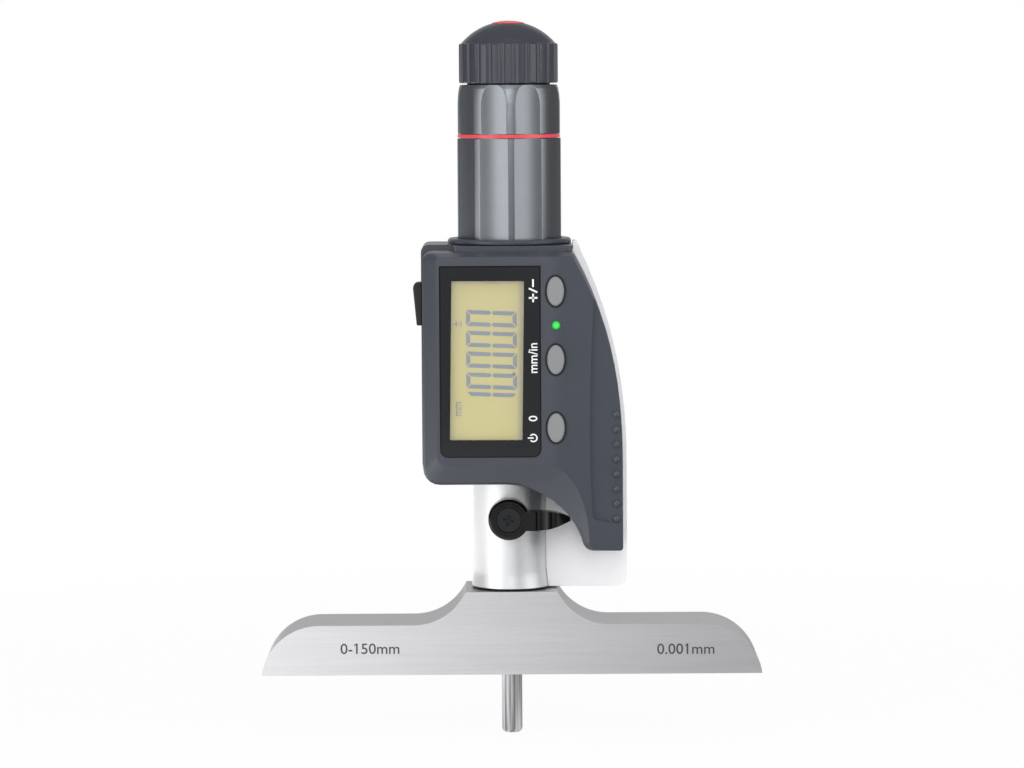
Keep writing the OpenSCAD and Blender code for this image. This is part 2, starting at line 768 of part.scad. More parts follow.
module ratchet_wheel() color("gray") {
    difference() {
        union() {
            translate([0, 0, wheel_z]) cylinder(r = neck_r, h = cap_z + 0.6 - wheel_z);
            translate([0, 0, wheel_z]) cylinder(r = post_r, h = post_top - wheel_z);
        }
        translate([0, 0, wheel_z - 1]) cylinder(r = spindle_end_r + fit_gap, h = post_top);
        // face teeth that the spring rides on
        for (k = [0:11]) rotate([0, 0, 30 * k]) translate([neck_r - 1, -0.25, cap_z + 0.3])
            cube([2, 0.5, 1]);
    }
}

module ratchet_spring() color("lightgray") tube(neck_r - 0.3, post_r + 0.15, cap_z + 0.62, cap_z + 1.2);

module speeder_cap() color("dimgray") {
    difference() {
        rotate_extrude() polygon(concat(
            [[neck_r + 0.3, cap_z], [cap_r - 0.15, cap_z], [cap_r, cap_z + 0.25], [cap_r, cap_shoulder]],
            soft([cap_r, cap_shoulder], [cap_r, cap_shoulder + 0.35], [rim_r, cap_shoulder + 0.4], 3),
            [for (i = [1:15]) let (r = rim_r * (1 - i / 15))
                [r, cap_top - dome_r + sqrt(dome_r * dome_r - r * r)]],
            [[0, post_top + 0.3], [post_r + run_gap, post_top + 0.3], [post_r + run_gap, bearing_z],
                [neck_r + 0.3, bearing_z]]
        ));
        translate([0, 0, cap_top - 1.8]) cylinder(r = insert_r + fit_gap, h = 3);
        round_cuts(cap_grooves, -90 + 180 / cap_grooves, cap_r + groove_r - groove_depth, groove_r,
            cap_z - 1, cap_top, $fn = 24);
    }
}

module cap_insert() color("red") {
    intersection() {
        translate([0, 0, cap_top - 1.8]) cylinder(r = insert_r, h = 3);
        translate([0, 0, cap_top + insert_proud - dome_r]) sphere(r = dome_r, $fn = 128);
    }
}

// ---- housing ----

// the fall of the grip side and of the scoop's floor, as heights above the axis
function slope_at(x) = face_y - grip_fall * (x - crease_x);
scoop_end = side_right;
scoop_fall = (slope_at(scoop_x) - scoop_depth - slope_at(scoop_end)) / (scoop_end - scoop_x);
function floor_at(x) = slope_at(scoop_end) + scoop_fall * (scoop_end - x);

// everything in front of the grip side, with a soft crease
module grip_slope() {
    translate([0, 0, foot_z - 5]) linear_extrude(shell_top) polygon(concat(
        soft([crease_x - 1.8, -face_y], [crease_x, -face_y], [crease_x + 1.8, -slope_at(crease_x + 1.8)], 5),
        [[30, -slope_at(30)], [30, -face_y - 5], [crease_x - 1.8, -face_y - 5]]
    ));
}

// the thumb scoop: an outline seen from the front, down to a floor that runs out at the grip's edge
module scoop() {
    intersection() {
        prism_y(-face_y - 2, 0) polygon(concat(
            soft([scoop_x + 1.6, shell_top], [scoop_x - 0.4, (shell_top + side_z) / 2], [scoop_x, side_z], 8),
            soft([scoop_x + 0.35, scoop_z + 1.3], [scoop_x + 0.4, scoop_z],
                [scoop_x + 1.8, scoop_z - 0.1], 4),
            [[scoop_x + 4, scoop_z - 0.5], [side_right + 3, scoop_z - 1.3], [side_right + 3, shell_top]]
        ));
        translate([0, 0, foot_z - 5]) linear_extrude(shell_top) polygon([
            [scoop_x - 3, -floor_at(scoop_x - 3)], [30, -floor_at(30)], [30, -face_y - 2],
            [scoop_x - 3, -face_y - 2]
        ]);
    }
}

// the room inside the front housing, drawn in behind the bevels and the sloping grip
module front_room() {
    difference() {
        loft([
            [-shell_inner, inside(face_line, wall / 2)],
            [-bevel_y + 0.75 * wall, inside(outer_line, wall)],
            [-frame_front + 1, inside(outer_line, wall)]
        ]);
        translate([0, 0, foot_z - 5]) linear_extrude(shell_top) polygon([
            [crease_x - 2, -face_y - 2], [crease_x - 2, -shell_inner - 0.3],
            [scoop_x - 2.5, -slope_at(scoop_x - 2.5) + wall], [scoop_x - 1.6, -floor_at(scoop_x) + wall],
            [30, -floor_at(scoop_x) + wall + 0.9], [30, -face_y - 2]
        ]);
    }
}

module front_shell() color("slategray") {
    difference() {
        union() {
            difference() {
                loft([
                    [-face_y, face_line],
                    [-bevel_y - 0.8, between(face_line, outer_line, 0.86)],
                    [-bevel_y - 0.3, between(face_line, outer_line, 0.96)],
                    [-bevel_y, outer_line],
                    [-frame_front, outer_line]
                ]);
                grip_slope();
                scoop();
                // bosses for the shell screws stay standing in the room
                difference() {
                    front_room();
                    for (p = screw_places) bar_y(p[0], p[1], boss_r, -face_y, -frame_front + 2);
                }
            }
            // grip bumps
            for (k = [0:bumps - 1]) translate([
                side_right - bump_in, -floor_at(side_right - bump_in) + 0.25, bump_top - k * bump_pitch
            ]) sphere(r = bump_r, $fn = 24);
        }
        // thimble and stem
        translate([0, 0, barrel_top]) cylinder(r = thimble_r + 0.5, h = shell_top);
        translate([0, 0, foot_z]) cylinder(r = stem_r + loose_gap, h = stem_top - foot_z);
        // window seat and display opening
        translate([window_x, 0, window_z]) {
            prism_y(-face_y - 1, -window_back) window_outline(fit_gap);
            prism_y(-face_y, -lcd_back + 0.2) square([lcd_w + 0.1, lcd_h + 0.1], center = true);
        }
        // buttons and status light
        for (z = button_heights) translate([button_x, 0, z]) {
            prism_y(-face_y - 1, -shell_inner + 1)
                polygon(oval(button_w + 2 * seal_wall + 0.16, button_h + 2 * seal_wall + 0.16, 40));
            // flat seat for the button's rim
            prism_y(-shell_inner - 0.05, -board_front)
                polygon(oval(button_w + 2 * button_rim + 0.5, button_h + 2 * button_rim + 0.5, 40));
        }
        bar_y(button_x + 0.1, light_z, light_r + fit_gap, -face_y - 1, -board_front);
        // data port
        translate([-shell_left - 1, -port_y - port_d / 2, port_z - port_h / 2])
            cube([wall + 2, port_d, port_h]);
        // screw holes
        for (p = screw_places) bar_y(p[0], p[1], screw_r + fit_gap, -screw_l - 0.2, 0);
    }
}

module rear_shell() color("slategray") {
    rear_line = outer_line + [0.4, rear_rise, -0.3, 0, 0, 0, 0, -0.5, 0];
    difference() {
        union() {
            loft([
                [frame_rear, rear_line],
                [back_y - 1.6, rear_line],
                [back_y - 0.8, inside(rear_line, 0.3)],
                [back_y - 0.2, inside(rear_line, 0.9)],
                [back_y, inside(rear_line, 1.5)]
            ]);
            // on the left the rim reaches forward round the frame, up to the front housing
            intersection() {
                prism_y(-frame_front + 0.05, frame_rear + 2) polygon(outline(inside(rear_line, 0.01)));
                translate([-30, -20, foot_z]) cube([30 - slot_r - 0.1, 40, shell_top]);
            }
        }
        difference() {
            prism_y(-frame_front - 1, rear_inner) polygon(outline(inside(rear_line, wall)));
            for (p = screw_places) bar_y(p[0], p[1], boss_r, frame_rear, back_y);
        }
        translate([0, 0, barrel_top]) cylinder(r = thimble_r + 0.5, h = shell_top);
        translate([0, 0, foot_z]) cylinder(r = stem_r + loose_gap, h = stem_top - foot_z);
        collar_seat(0.05);
        translate([0, 0, shell_top + collar_foot - 0.25]) cylinder(r = collar_r + 0.1, h = 3);
        // battery opening with its stepped seat
        bar_y(cell_x, cell_z, battery_plug_r + 0.1, frame_rear - 1, back_y + 1);
        bar_y(cell_x, cell_z, battery_cap_r + 0.1, cap_seat, back_y + 1);
        for (p = screw_places) {
            bar_y(p[0], p[1], screw_r + loose_gap, frame_rear - 1, back_y + 1);
            bar_y(p[0], p[1], screw_head_r + loose_gap, back_y - 1.3, back_y + 1);
        }
    }
}

// the collar's foot, wider by a gap where it makes its own seat
module collar_seat(gap) {
    translate([0, 0, shell_top]) linear_extrude(collar_foot + gap) offset(r = 1) square_between(
        -collar_r + 1.1 + 1 - gap, collar_r + 0.1 - 1 + gap, -face_y + 4.7 + 1 - gap, back_y - 1.2 - 1 + gap
    );
}

module square_between(x0, x1, y0, y1) {
    translate([x0, y0]) square([x1 - x0, y1 - y0]);
}

module collar_ring() color("dimgray") {
    difference() {
        union() {
            collar_seat(0);
            rotate_extrude() polygon([
                [0, shell_top + collar_foot - 0.2], [collar_r - 0.6, shell_top + collar_foot - 0.2],
                [collar_r - 0.5, shell_top + collar_foot], [collar_r, shell_top + collar_foot + 0.3],
                [collar_r, collar_top - 0.35], [collar_r - 0.35, collar_top], [0, collar_top]
            ]);
            translate([0, 0, shell_top - wall]) cylinder(r = thimble_r + 0.45, h = wall + 0.5);
        }
        translate([0, 0, shell_top - 10]) cylinder(r = collar_bore, h = 20);
    }
}

module shell_screws() color("dimgray") {
    for (p = screw_places) difference() {
        union() {
            bar_y(p[0], p[1], screw_r, -screw_l, back_y - 1);
            bar_y(p[0], p[1], screw_head_r, back_y - 1.28, back_y - 0.1);
        }
        for (turn = [0, 90]) translate([p[0], back_y, p[1]]) rotate([0, turn, 0])
            cube([2.2, 1.2, 0.5], center = true);
    }
}

// ---- display and electronics ----

module window_outline(grow) {
    polygon(concat(
        arc(window_w / 2 - window_corner, -window_h / 2 + window_corner, window_corner + grow, 270, 360, 6),
        [[window_w / 2 + grow, window_h / 2 + grow], [-window_w / 2 - grow, window_h / 2 + grow]],
        arc(-window_w / 2 + window_corner, -window_h / 2 + window_corner, window_corner + grow, 180, 270, 6)
    ));
}

module display_window() color("black") {
    translate([window_x, 0, window_z]) prism_y(-face_y, -window_back) window_outline(0);
}

module lcd_panel() color("darkkhaki") {
    translate([window_x, 0, window_z]) prism_y(-lcd_front, -lcd_back) square([lcd_w, lcd_h], center = true);
}

module contact_strips() color("pink") {
    for (x = [-board_left + strip_w / 2, window_x + lcd_w / 2 - strip_w])
        translate([x, 0, window_z]) prism_y(-lcd_back, -board_front)
            square([strip_w, lcd_h - 3], center = true);
}

module main_board() color("green") {
    prism_y(-board_front, -board_back) translate([-board_left, board_low])
        square([board_left + board_right, board_high - board_low]);
}

button_heights = [button_z + button_pitch, button_z, button_z - button_pitch];

module button_switches() color("silver") {
    for (z = button_heights) {
        bar_y(button_x, z, 1.2, -switch_top, -board_front);
        translate([button_x - switch_w / 2, -board_front - 0.6, z - switch_w / 2])
            cube([switch_w, 0.6, switch_w]);
    }
}

module button_seals() color("black") {
    for (z = button_heights) translate([button_x, 0, z]) prism_y(-face_y, -shell_inner) difference() {
        polygon(oval(button_w + 2 * seal_wall + 0.1, button_h + 2 * seal_wall + 0.1, 40));
        polygon(oval(button_w + 0.1, button_h + 0.1, 40));
    }
}

module button(z) {
    translate([button_x, 0, z]) {
        prism_y(-face_y - button_proud + 0.12, -shell_inner + loose_gap + 0.1)
            polygon(oval(button_w, button_h, 40));
        prism_y(-face_y - button_proud, -face_y) polygon(oval(button_w - 0.4, button_h - 0.4, 40));
        prism_y(-shell_inner + loose_gap, -shell_inner + loose_gap + button_flange)
            polygon(oval(button_w + 2 * button_rim, button_h + 2 * button_rim, 40));
    }
}

module button_tol() color("darkgray") button(button_heights[0]);

module button_inc() color("darkgray") button(button_heights[1]);

module button_set() color("darkgray") button(button_heights[2]);

module light_pipe() color("lime") {
    bar_y(button_x + 0.1, light_z, light_r, -face_y - 0.05, -board_front - 0.05);
}

module data_connector() color("goldenrod") {
    difference() {
        translate([-shell_left + wall + 0.5, -board_front - 0.05, port_z - port_h / 2 + 0.2])
            cube([shell_left - wall - 0.6 - board_left, port_d + 1.9, port_h - 0.4]);
        translate([-shell_left, -port_y - port_d / 2 + 0.8, port_z - port_h / 2 + 1])
            cube([wall + 2, port_d - 1.6, port_h - 2]);
    }
}

module port_cover() color("black") {
    prism_y(-port_y - port_d / 2 - cover_lip, -port_y + port_d / 2 + cover_lip) polygon(concat(
        [[-shell_left - 0.02, port_z - port_h / 2 - cover_lip],
            [-shell_left - 0.02, port_z + port_h / 2 + cover_lip]],
        soft([-shell_left - cover_out * 0.35, port_z + port_h / 2 + cover_lip],
            [-shell_left - cover_out * 0.95, port_z + port_h / 2 + cover_lip],
            [-shell_left - cover_out, port_z + port_h / 2 - 0.6], 4),
        [[-shell_left - cover_out * 0.62, port_z - port_h / 2 - cover_lip]]
    ));
    translate([-shell_left - 0.5, -port_y - port_d / 2 + fit_gap, port_z - port_h / 2 + fit_gap])
        cube([wall + 0.3, port_d - 2 * fit_gap, port_h - 2 * fit_gap]);
}

// ---- battery ----

module battery_cell() color("silver") {
    bar_y(cell_x, cell_z, cell_r, rear_inner - 0.1 - cell_t, rear_inner - 0.1);
}

module battery_contacts() color("gold") {
    bar_y(cell_x, cell_z, 3.4, frame_rear, rear_inner - 0.15 - cell_t);
    translate([cell_x - 2, frame_rear, cell_z + cell_r + 0.1]) cube([4, rear_inner - frame_rear - 0.5, 0.3]);
}

module battery_seal() color("black") {
    difference() {
        bar_y(cell_x, cell_z, battery_cap_r - 0.05, cap_seat, cap_seat + 0.25);
        bar_y(cell_x, cell_z, battery_plug_r + 0.15, cap_seat - 1, cap_seat + 1);
    }
}

module battery_cap() color("dimgray") {
    difference() {
        union() {
            bar_y(cell_x, cell_z, battery_cap_r, cap_seat + 0.25, back_y + 0.1);
            bar_y(cell_x, cell_z, battery_plug_r, rear_inner - 0.05, cap_seat + 0.5);
        }
        translate([cell_x - battery_cap_r + 1.2, back_y - 0.5, cell_z - coin_slot / 2])
            cube([2 * battery_cap_r - 2.4, 2, coin_slot]);
    }
}

base();
rod_bush();
stem_sleeve();
base_set_screws();
frame_plate();
inner_sleeve();
screw_nut();
adjusting_nut();
front_shell();
rear_shell();
collar_ring();
display_window();
lcd_panel();
contact_strips();
main_board();
button_switches();
button_seals();
light_pipe();
data_connector();
battery_cell();
battery_contacts();
encoder_stator();
shell_screws();
lock_screw();
lock_pin();
encoder_rotor();
spindle();
thimble();
red_ring();
thimble_nut();
measuring_rod();
rod_nuts();
ratchet_wheel();
ratchet_spring();
speeder_cap();
cap_insert();
lock_lever();
button_tol();
button_inc();
button_set();
battery_cap();
battery_seal();
port_cover();
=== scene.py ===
"""Looks of a digital depth gauge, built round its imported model. All sizes are in metres."""

import json
import math

import bmesh
import bpy
from mathutils import Matrix, Vector


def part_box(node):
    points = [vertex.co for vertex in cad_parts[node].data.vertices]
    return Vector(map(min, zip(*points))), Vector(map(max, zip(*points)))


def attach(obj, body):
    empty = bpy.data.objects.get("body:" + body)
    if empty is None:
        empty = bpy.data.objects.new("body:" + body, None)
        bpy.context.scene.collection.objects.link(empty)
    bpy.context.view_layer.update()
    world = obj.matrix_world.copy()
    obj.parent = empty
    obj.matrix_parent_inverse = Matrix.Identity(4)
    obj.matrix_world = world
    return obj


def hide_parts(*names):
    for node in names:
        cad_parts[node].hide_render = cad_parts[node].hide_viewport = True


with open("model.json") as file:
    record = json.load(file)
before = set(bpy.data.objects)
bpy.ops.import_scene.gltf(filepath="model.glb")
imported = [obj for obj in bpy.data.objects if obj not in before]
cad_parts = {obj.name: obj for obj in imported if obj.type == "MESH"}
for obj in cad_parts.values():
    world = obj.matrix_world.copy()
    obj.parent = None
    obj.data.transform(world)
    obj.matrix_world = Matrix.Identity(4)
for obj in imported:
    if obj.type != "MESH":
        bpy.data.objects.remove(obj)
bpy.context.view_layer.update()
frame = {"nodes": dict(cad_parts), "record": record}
MM = 0.001


# ---- base ----
# The T-shaped base is one block of hardened steel, profiled on a grinder, which leaves a fine grain
# along it. Only the measuring face underneath is lapped. The range and the step are etched dark.


class Signal:
    """A shader socket that sums, products and so on can be written with; each adds a Math node."""

    def __init__(self, tree, socket=None):
        self.tree = tree
        self.socket = socket

    def node(self, kind, settings=(), inputs=(), output=0):
        """Adds any node: its settings first, then the values or links of its sockets."""
        made = self.tree.nodes.new(kind)
        for name, value in dict(settings).items():
            setattr(made, name, value)
        for name, value in dict(inputs).items():
            if isinstance(value, Signal):
                self.tree.links.new(value.socket, made.inputs[name])
            else:
                made.inputs[name].default_value = value
        return Signal(self.tree, made.outputs[output])

    def math(self, operation, *values):
        return self.node("ShaderNodeMath", {"operation": operation}, dict(enumerate(values)))

    def __add__(self, other):
        return self.math("ADD", self, other)

    def __radd__(self, other):
        return self.math("ADD", other, self)

    def __sub__(self, other):
        return self.math("SUBTRACT", self, other)

    def __rsub__(self, other):
        return self.math("SUBTRACT", other, self)

    def __mul__(self, other):
        return self.math("MULTIPLY", self, other)

    def __truediv__(self, other):
        return self.math("DIVIDE", self, other)

    def __rtruediv__(self, other):
        return self.math("DIVIDE", other, self)

    def __pow__(self, other):
        return self.math("POWER", self, other)

    def clamped(self):
        return self.node("ShaderNodeClamp", {}, {"Value": self})

    def step(self, low, high):
        """0 below low and 1 above high, with a smooth rise between them."""
        settings = {"interpolation_type": "SMOOTHSTEP"}
        inputs = {"Value": self, "From Min": low, "From Max": high}
        return self.node("ShaderNodeMapRange", settings, inputs)

    def noise(self, vector, scale, detail=2.0, roughness=0.5):
        inputs = {"Vector": vector, "Scale": scale, "Detail": detail, "Roughness": roughness}
        return self.node("ShaderNodeTexNoise", {}, inputs)

    def stretch(self, vector, scale):
        return self.node("ShaderNodeMapping", {}, {"Vector": vector, "Scale": scale})

    def mix(self, factor, first, second):
        """A mix of two colours."""
        settings = {"data_type": "RGBA"}
        return self.node("ShaderNodeMix", settings, {0: factor, 6: first, 7: second}, output=2)

    def bump(self, strength, distance):
        return self.node("ShaderNodeBump", {}, {"Height": self, "Strength": strength, "Distance": distance})


def tone(hex_colour):
    """A colour written as on a paint card, as the linear values a shader takes."""
    parts = [int(hex_colour[i:i + 2], 16) / 255 for i in (0, 2, 4)]
    linear = [c / 12.92 if c <= 0.04045 else ((c + 0.055) / 1.055) ** 2.4 for c in parts]
    return (*linear, 1.0)


class Surface:
    """A material, its main shader, and the place on the piece that its patterns are drawn by."""

    def __init__(self, name, **constants):
        self.material = bpy.data.materials.new(name)
        self.material.use_nodes = True
        self.tree = self.material.node_tree
        self.shader = self.tree.nodes["Principled BSDF"]
        for socket, value in constants.items():
            self.shader.inputs[socket.replace("_", " ")].default_value = value
        self.start = Signal(self.tree)
        self.place = self.start.node("ShaderNodeTexCoord", {}, {}, output=3)
        split = self.start.node("ShaderNodeSeparateXYZ", {}, {"Vector": self.place})
        self.x, self.y, self.z = (Signal(self.tree, split.socket.node.outputs[i]) for i in range(3))

    def feed(self, **signals):
        for socket, signal in signals.items():
            self.tree.links.new(signal.socket, self.shader.inputs[socket.replace("_", " ")])
        return self.material


def ground_steel():
    steel = Surface("ground_steel", Metallic=1.0)
    along = steel.start.noise(steel.start.stretch(steel.place, (70, 1500, 9000)), 1.0, 3.0, 0.6)
    broad = steel.start.noise(steel.start.stretch(steel.place, (14, 60, 700)), 1.0, 2.0)
    grain = along * 0.65 + broad * 0.35
    return steel.feed(
        Base_Color=steel.start.mix(grain.step(0.2, 0.85), tone("C9C8CB"), tone("D9D9DB")),
        Roughness=0.36 + grain * 0.1,
        Normal=along.bump(0.12, 0.015 * MM),
    )


def dress(name, material, edge=0.0, angle=35, segments=2):
    """A merged copy of a CAD solid with eased edges, which then stands for that solid."""
    source = frame["nodes"][name]
    mesh = bmesh.new()
    mesh.from_mesh(source.data)
    bmesh.ops.remove_doubles(mesh, verts=mesh.verts, dist=1e-6)
    bmesh.ops.dissolve_degenerate(mesh, edges=mesh.edges, dist=2e-6)
    bmesh.ops.dissolve_limit(mesh, angle_limit=math.radians(0.4), verts=mesh.verts, edges=mesh.edges)
    data = bpy.data.meshes.new(name + "_finished")
    mesh.to_mesh(data)
    mesh.free()
    piece = bpy.data.objects.new(data.name, data)
    bpy.context.scene.collection.objects.link(piece)
    data.materials.append(material)
    data.shade_smooth()
    if edge:
        bevel = piece.modifiers.new("eased_edges", "BEVEL")
        bevel.width = edge
        bevel.segments = segments
        bevel.limit_method = "ANGLE"
        bevel.angle_limit = math.radians(angle)
        bevel.use_clamp_overlap = True
        flat = piece.modifiers.new("flat_faces", "WEIGHTED_NORMAL")
        flat.keep_sharp = True
        flat.weight = 100
    smooth_by_angle(piece, 32)
    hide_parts(name)
    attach(piece, body_of(name))
    return piece


def smooth_by_angle(piece, degrees):
    for polygon in piece.data.polygons:
        polygon.use_smooth = True
    piece.data.set_sharp_from_angle(angle=math.radians(degrees))


def body_of(name):
    bodies = frame["record"]["behaviour"]["bodies"]
    return next(body for body, nodes in bodies.items() if name in nodes)


def paint(name, material):
    """Gives a CAD solid that stays as it is its material."""
    data = frame["nodes"][name].data
    data.materials.clear()
    data.materials.append(material)


def one_mesh(name, parts, material, body):
    """One piece from (points, faces) lists that are already in place."""
    mesh = bmesh.new()
    for points, faces in parts:
        made = [mesh.verts.new(point) for point in points]
        for face in faces:
            mesh.faces.new([made[i] for i in face])
    bmesh.ops.recalc_face_normals(mesh, faces=mesh.faces)
    data = bpy.data.meshes.new(name)
    mesh.to_mesh(data)
    mesh.free()
    return finished(name, data, material, body)


def finished(name, data, material, body):
    data.materials.clear()
    data.materials.append(material)
    piece = bpy.data.objects.new(name, data)
    bpy.context.scene.collection.objects.link(piece)
    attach(piece, body)
    return piece


def lettering(name, words, height, place, turn, depth, material, wide=1.0):
    """Figures on the gauge's front: their middle at place, read along X or turned up along Z."""
    capital_share, bolder = 0.72, 0.012
    curve = bpy.data.curves.new(name + "_curve", "FONT")
    curve.body = words
    curve.align_x = "CENTER"
    curve.align_y = "CENTER"
    curve.size = height / capital_share
    curve.extrude = depth / 2
    curve.offset = height * bolder
    curve.resolution_u = 4
    holder = bpy.data.objects.new(name + "_curve", curve)
    bpy.context.scene.collection.objects.link(holder)
    evaluated = holder.evaluated_get(bpy.context.evaluated_depsgraph_get())
    data = bpy.data.meshes.new_from_object(evaluated)
    bpy.data.objects.remove(holder)
    low = [min(v.co[i] for v in data.vertices) for i in range(2)]
    high = [max(v.co[i] for v in data.vertices) for i in range(2)]
    centre = Matrix.Translation((-(low[0] + high[0]) / 2, -(low[1] + high[1]) / 2, 0))
    widened = Matrix.Diagonal((wide, 1, 1, 1))
    upright = Matrix.Rotation(math.radians(90), 4, "X")
    quarter = Matrix.Rotation(math.radians(-turn), 4, "Y")
    data.transform(Matrix.Translation(place) @ quarter @ upright @ widened @ centre)
    data.name = name
    return finished(name, data, material, "gauge_body")


def etched_grey():
    etched = Surface("etched_grey", Metallic=0.3, Roughness=0.55)
    speckle = etched.start.noise(etched.place, 9000, 2.0)
    return etched.feed(Base_Color=etched.start.mix(speckle, tone("3E4044"), tone("55585D")))


def slab(outline, front, back):
    """A flat plate from an (x, z) outline, as points and faces."""
    clean = [p for i, p in enumerate(outline) if p != outline[i - 1]]
    count = len(clean)
    points = [(x, front, z) for x, z in clean] + [(x, back, z) for x, z in clean]
    sides = [(i, (i + 1) % count, (i + 1) % count + count, i + count) for i in range(count)]
    return points, [tuple(range(count)), tuple(range(2 * count - 1, count - 1, -1)), *sides]


def stroke(points, half):
    """A flat band of an even width along (x, z) points."""
    left, right = [], []
    for i, (x, z) in enumerate(points):
        before, after = points[max(i - 1, 0)], points[min(i + 1, len(points) - 1)]
        dx, dz = after[0] - before[0], after[1] - before[1]
        length = math.hypot(dx, dz)
        left.append((x - dz / length * half, z + dx / length * half))
        right.append((x + dz / length * half, z - dx / length * half))
    return left + right[::-1]


def mark(name, lines, half, front, material):
    """Lines given in millimetres as one flat mark on the gauge's front."""
    parts = []
    for line in lines:
        band = stroke([(x * MM, z * MM) for x, z in line], half * MM)
        parts.append(slab(band, front, front + 0.01 * MM))
    return one_mesh(name, parts, material, "gauge_body")


dress("base", ground_steel(), edge=0.12 * MM)
base_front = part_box("base")[0].y
etched = etched_grey()
figure_h, flag_wide, flag_tall, flag_half = 2.2, 0.42, 0.4, 0.11
# The typeface's 1 is a plain bar, so its flag is drawn as a short line. Each row holds the piece's
# name, its figures, their middle along X and Z, and the place of the 1.
base_figures = (
    ("range_figures", "0-150mm", -28.77, 5.44, -31.55),
    ("step_figures", "0.001mm", 35.25, 5.06, 35.59),
)
flags = []
for label, words, x, z, one_x in base_figures:
    place = (x * MM, base_front - 0.004 * MM, z * MM)
    lettering(label, words, figure_h * MM, place, 0, 0.012 * MM, etched, wide=1.03)
    flag_z = z + figure_h * 0.47
    flags.append([(one_x, flag_z), (one_x - flag_wide, flag_z - flag_tall)])
mark("figure_flags", flags, flag_half, base_front - 0.01 * MM, etched)


# ---- rod bush and set screws ----
# A turned bronze bush guides the rod just above the measuring face. Two blackened socket screws
# in the base's rear clamp the stem's spigot.


def turned(name, dark, light, roughness, pitch=0.08 * MM):
    """Metal from a lathe: fine rings along Z, and a slow change of tone."""
    metal = Surface(name, Metallic=1.0)
    rings = metal.start.noise(metal.start.stretch(metal.place, (30, 30, 1 / pitch)), 1.0, 2.0)
    cloud = metal.start.noise(metal.place, 160, 3.0)
    mixed = metal.start.mix(rings * 0.6 + cloud * 0.4, tone(dark), tone(light))
    return metal.feed(
        Base_Color=mixed,
        Roughness=roughness - 0.05 + rings * 0.1,
        Normal=rings.bump(0.15, 0.01 * MM),
    )


def blackened_steel(name, dark, light):
    black = Surface(name, Metallic=0.8)
    cloud = black.start.noise(black.place, 700, 3.0)
    rubbed = cloud.step(0.55, 0.8)
    return black.feed(
        Base_Color=black.start.mix(rubbed, tone(dark), tone(light)),
        Roughness=0.42 - rubbed * 0.12,
        Normal=cloud.bump(0.1, 0.02 * MM),
    )


bronze = turned("turned_bronze", "9C7A3C", "C8A667", 0.34)
black_steel = blackened_steel("blackened_steel", "1D1E20", "3A3B3E")
paint("rod_bush", bronze)
dress("base_set_screws", black_steel, edge=0.06 * MM)


# ---- stem ----
# A steel tube with a satin chrome finish, spigoted into the hub and clamped there. A narrow groove
# keeps its foot off the hub's top, and the chrome is painted near black there as shade.


base_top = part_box("base")[1].z


def satin_chrome():
    chrome = Surface("satin_chrome", Metallic=1.0)
    blasted = chrome.start.noise(chrome.place, 7000, 2.0, 0.6)
    cloud = chrome.start.noise(chrome.place, 120, 3.0)
    bright = chrome.start.mix(cloud, tone("DADBDC"), tone("E9EAEB"))
    # Painted shade: near black in the narrow groove at the foot, where the hub's top shadows it.
    painted_groove_shade = 1 - chrome.z.step(base_top + 0.45 * MM, base_top + 0.55 * MM)
    return chrome.feed(
        Base_Color=chrome.start.mix(painted_groove_shade, bright, tone("2A2A2C")),
        Roughness=0.4 + blasted * 0.1,
        Normal=blasted.bump(0.08, 0.01 * MM),
    )


satin = satin_chrome()
dress("stem_sleeve", satin, edge=0.05 * MM)


# ---- frame ----
# An aluminium casting with an off-white powder coat. Its barrel holds the encoder, and its flat
# arm runs down behind the grip to the stem.


def powder_coat():
    coat = Surface("powder_coat", Metallic=0.0, Coat_Weight=0.15, Coat_Roughness=0.3)
    orange_peel = coat.start.noise(coat.place, 1700, 2.0)
    speckle = coat.start.noise(coat.place, 9000, 1.0)
    return coat.feed(
        Base_Color=coat.start.mix(speckle, tone("EFEFF1"), tone("F7F7F9")),
        Roughness=0.42 + speckle * 0.1,
        Normal=orange_peel.bump(0.12, 0.03 * MM),
    )


dress("frame_plate", powder_coat(), edge=0.25 * MM)


# ---- encoder, inner sleeve and nuts ----
# Inside the barrel a fixed and a turning disc read the spindle's angle. The inner sleeve above them
# carries the bronze nut that the spindle's thread runs in, and the ring that takes up its wear.


def laminate():
    board = Surface("green_laminate", Metallic=0.0, Coat_Weight=0.4, Coat_Roughness=0.2)
    threads = {"Vector": board.place, "Scale": 900.0}
    weft = board.start.node("ShaderNodeTexWave", {"bands_direction": "X"}, threads)
    warp = board.start.node("ShaderNodeTexWave", {"bands_direction": "Z"}, threads)
    cloth = weft * warp
    return board.feed(
        Base_Color=board.start.mix(cloth, tone("1F5A38"), tone("2C7048")),
        Roughness=0.35 + cloth * 0.1,
        Normal=cloth.bump(0.1, 0.01 * MM),
    )


green_board = laminate()
for name in ("encoder_stator", "encoder_rotor", "main_board"):
    paint(name, green_board)
paint("inner_sleeve", satin)
paint("screw_nut", bronze)
paint("adjusting_nut", black_steel)


# ---- spindle and measuring rod ----
# The hollow spindle is ground and threaded; the slim rod goes down through it, is held by two nuts
# at its head, and has a lapped end with a broken edge.

spindle_steel = turned("spindle_steel", "8F9194", "B9BBBE", 0.26, pitch=0.12 * MM)


def drawn_rod():
    """Drawn and ground wire: streaks along its length."""
    rod = Surface("rod_steel", Metallic=1.0)
    streaks = rod.start.noise(rod.start.stretch(rod.place, (1500, 1500, 25)), 1.0, 3.0, 0.6)
    return rod.feed(
        Base_Color=rod.start.mix(streaks.step(0.3, 0.7), tone("707173"), tone("DADADC")),
        Roughness=0.24 + streaks * 0.1,
        Normal=streaks.bump(0.1, 0.01 * MM),
    )


rod_steel = drawn_rod()
paint("spindle", spindle_steel)
dress("measuring_rod", rod_steel)
paint("rod_nuts", black_steel)


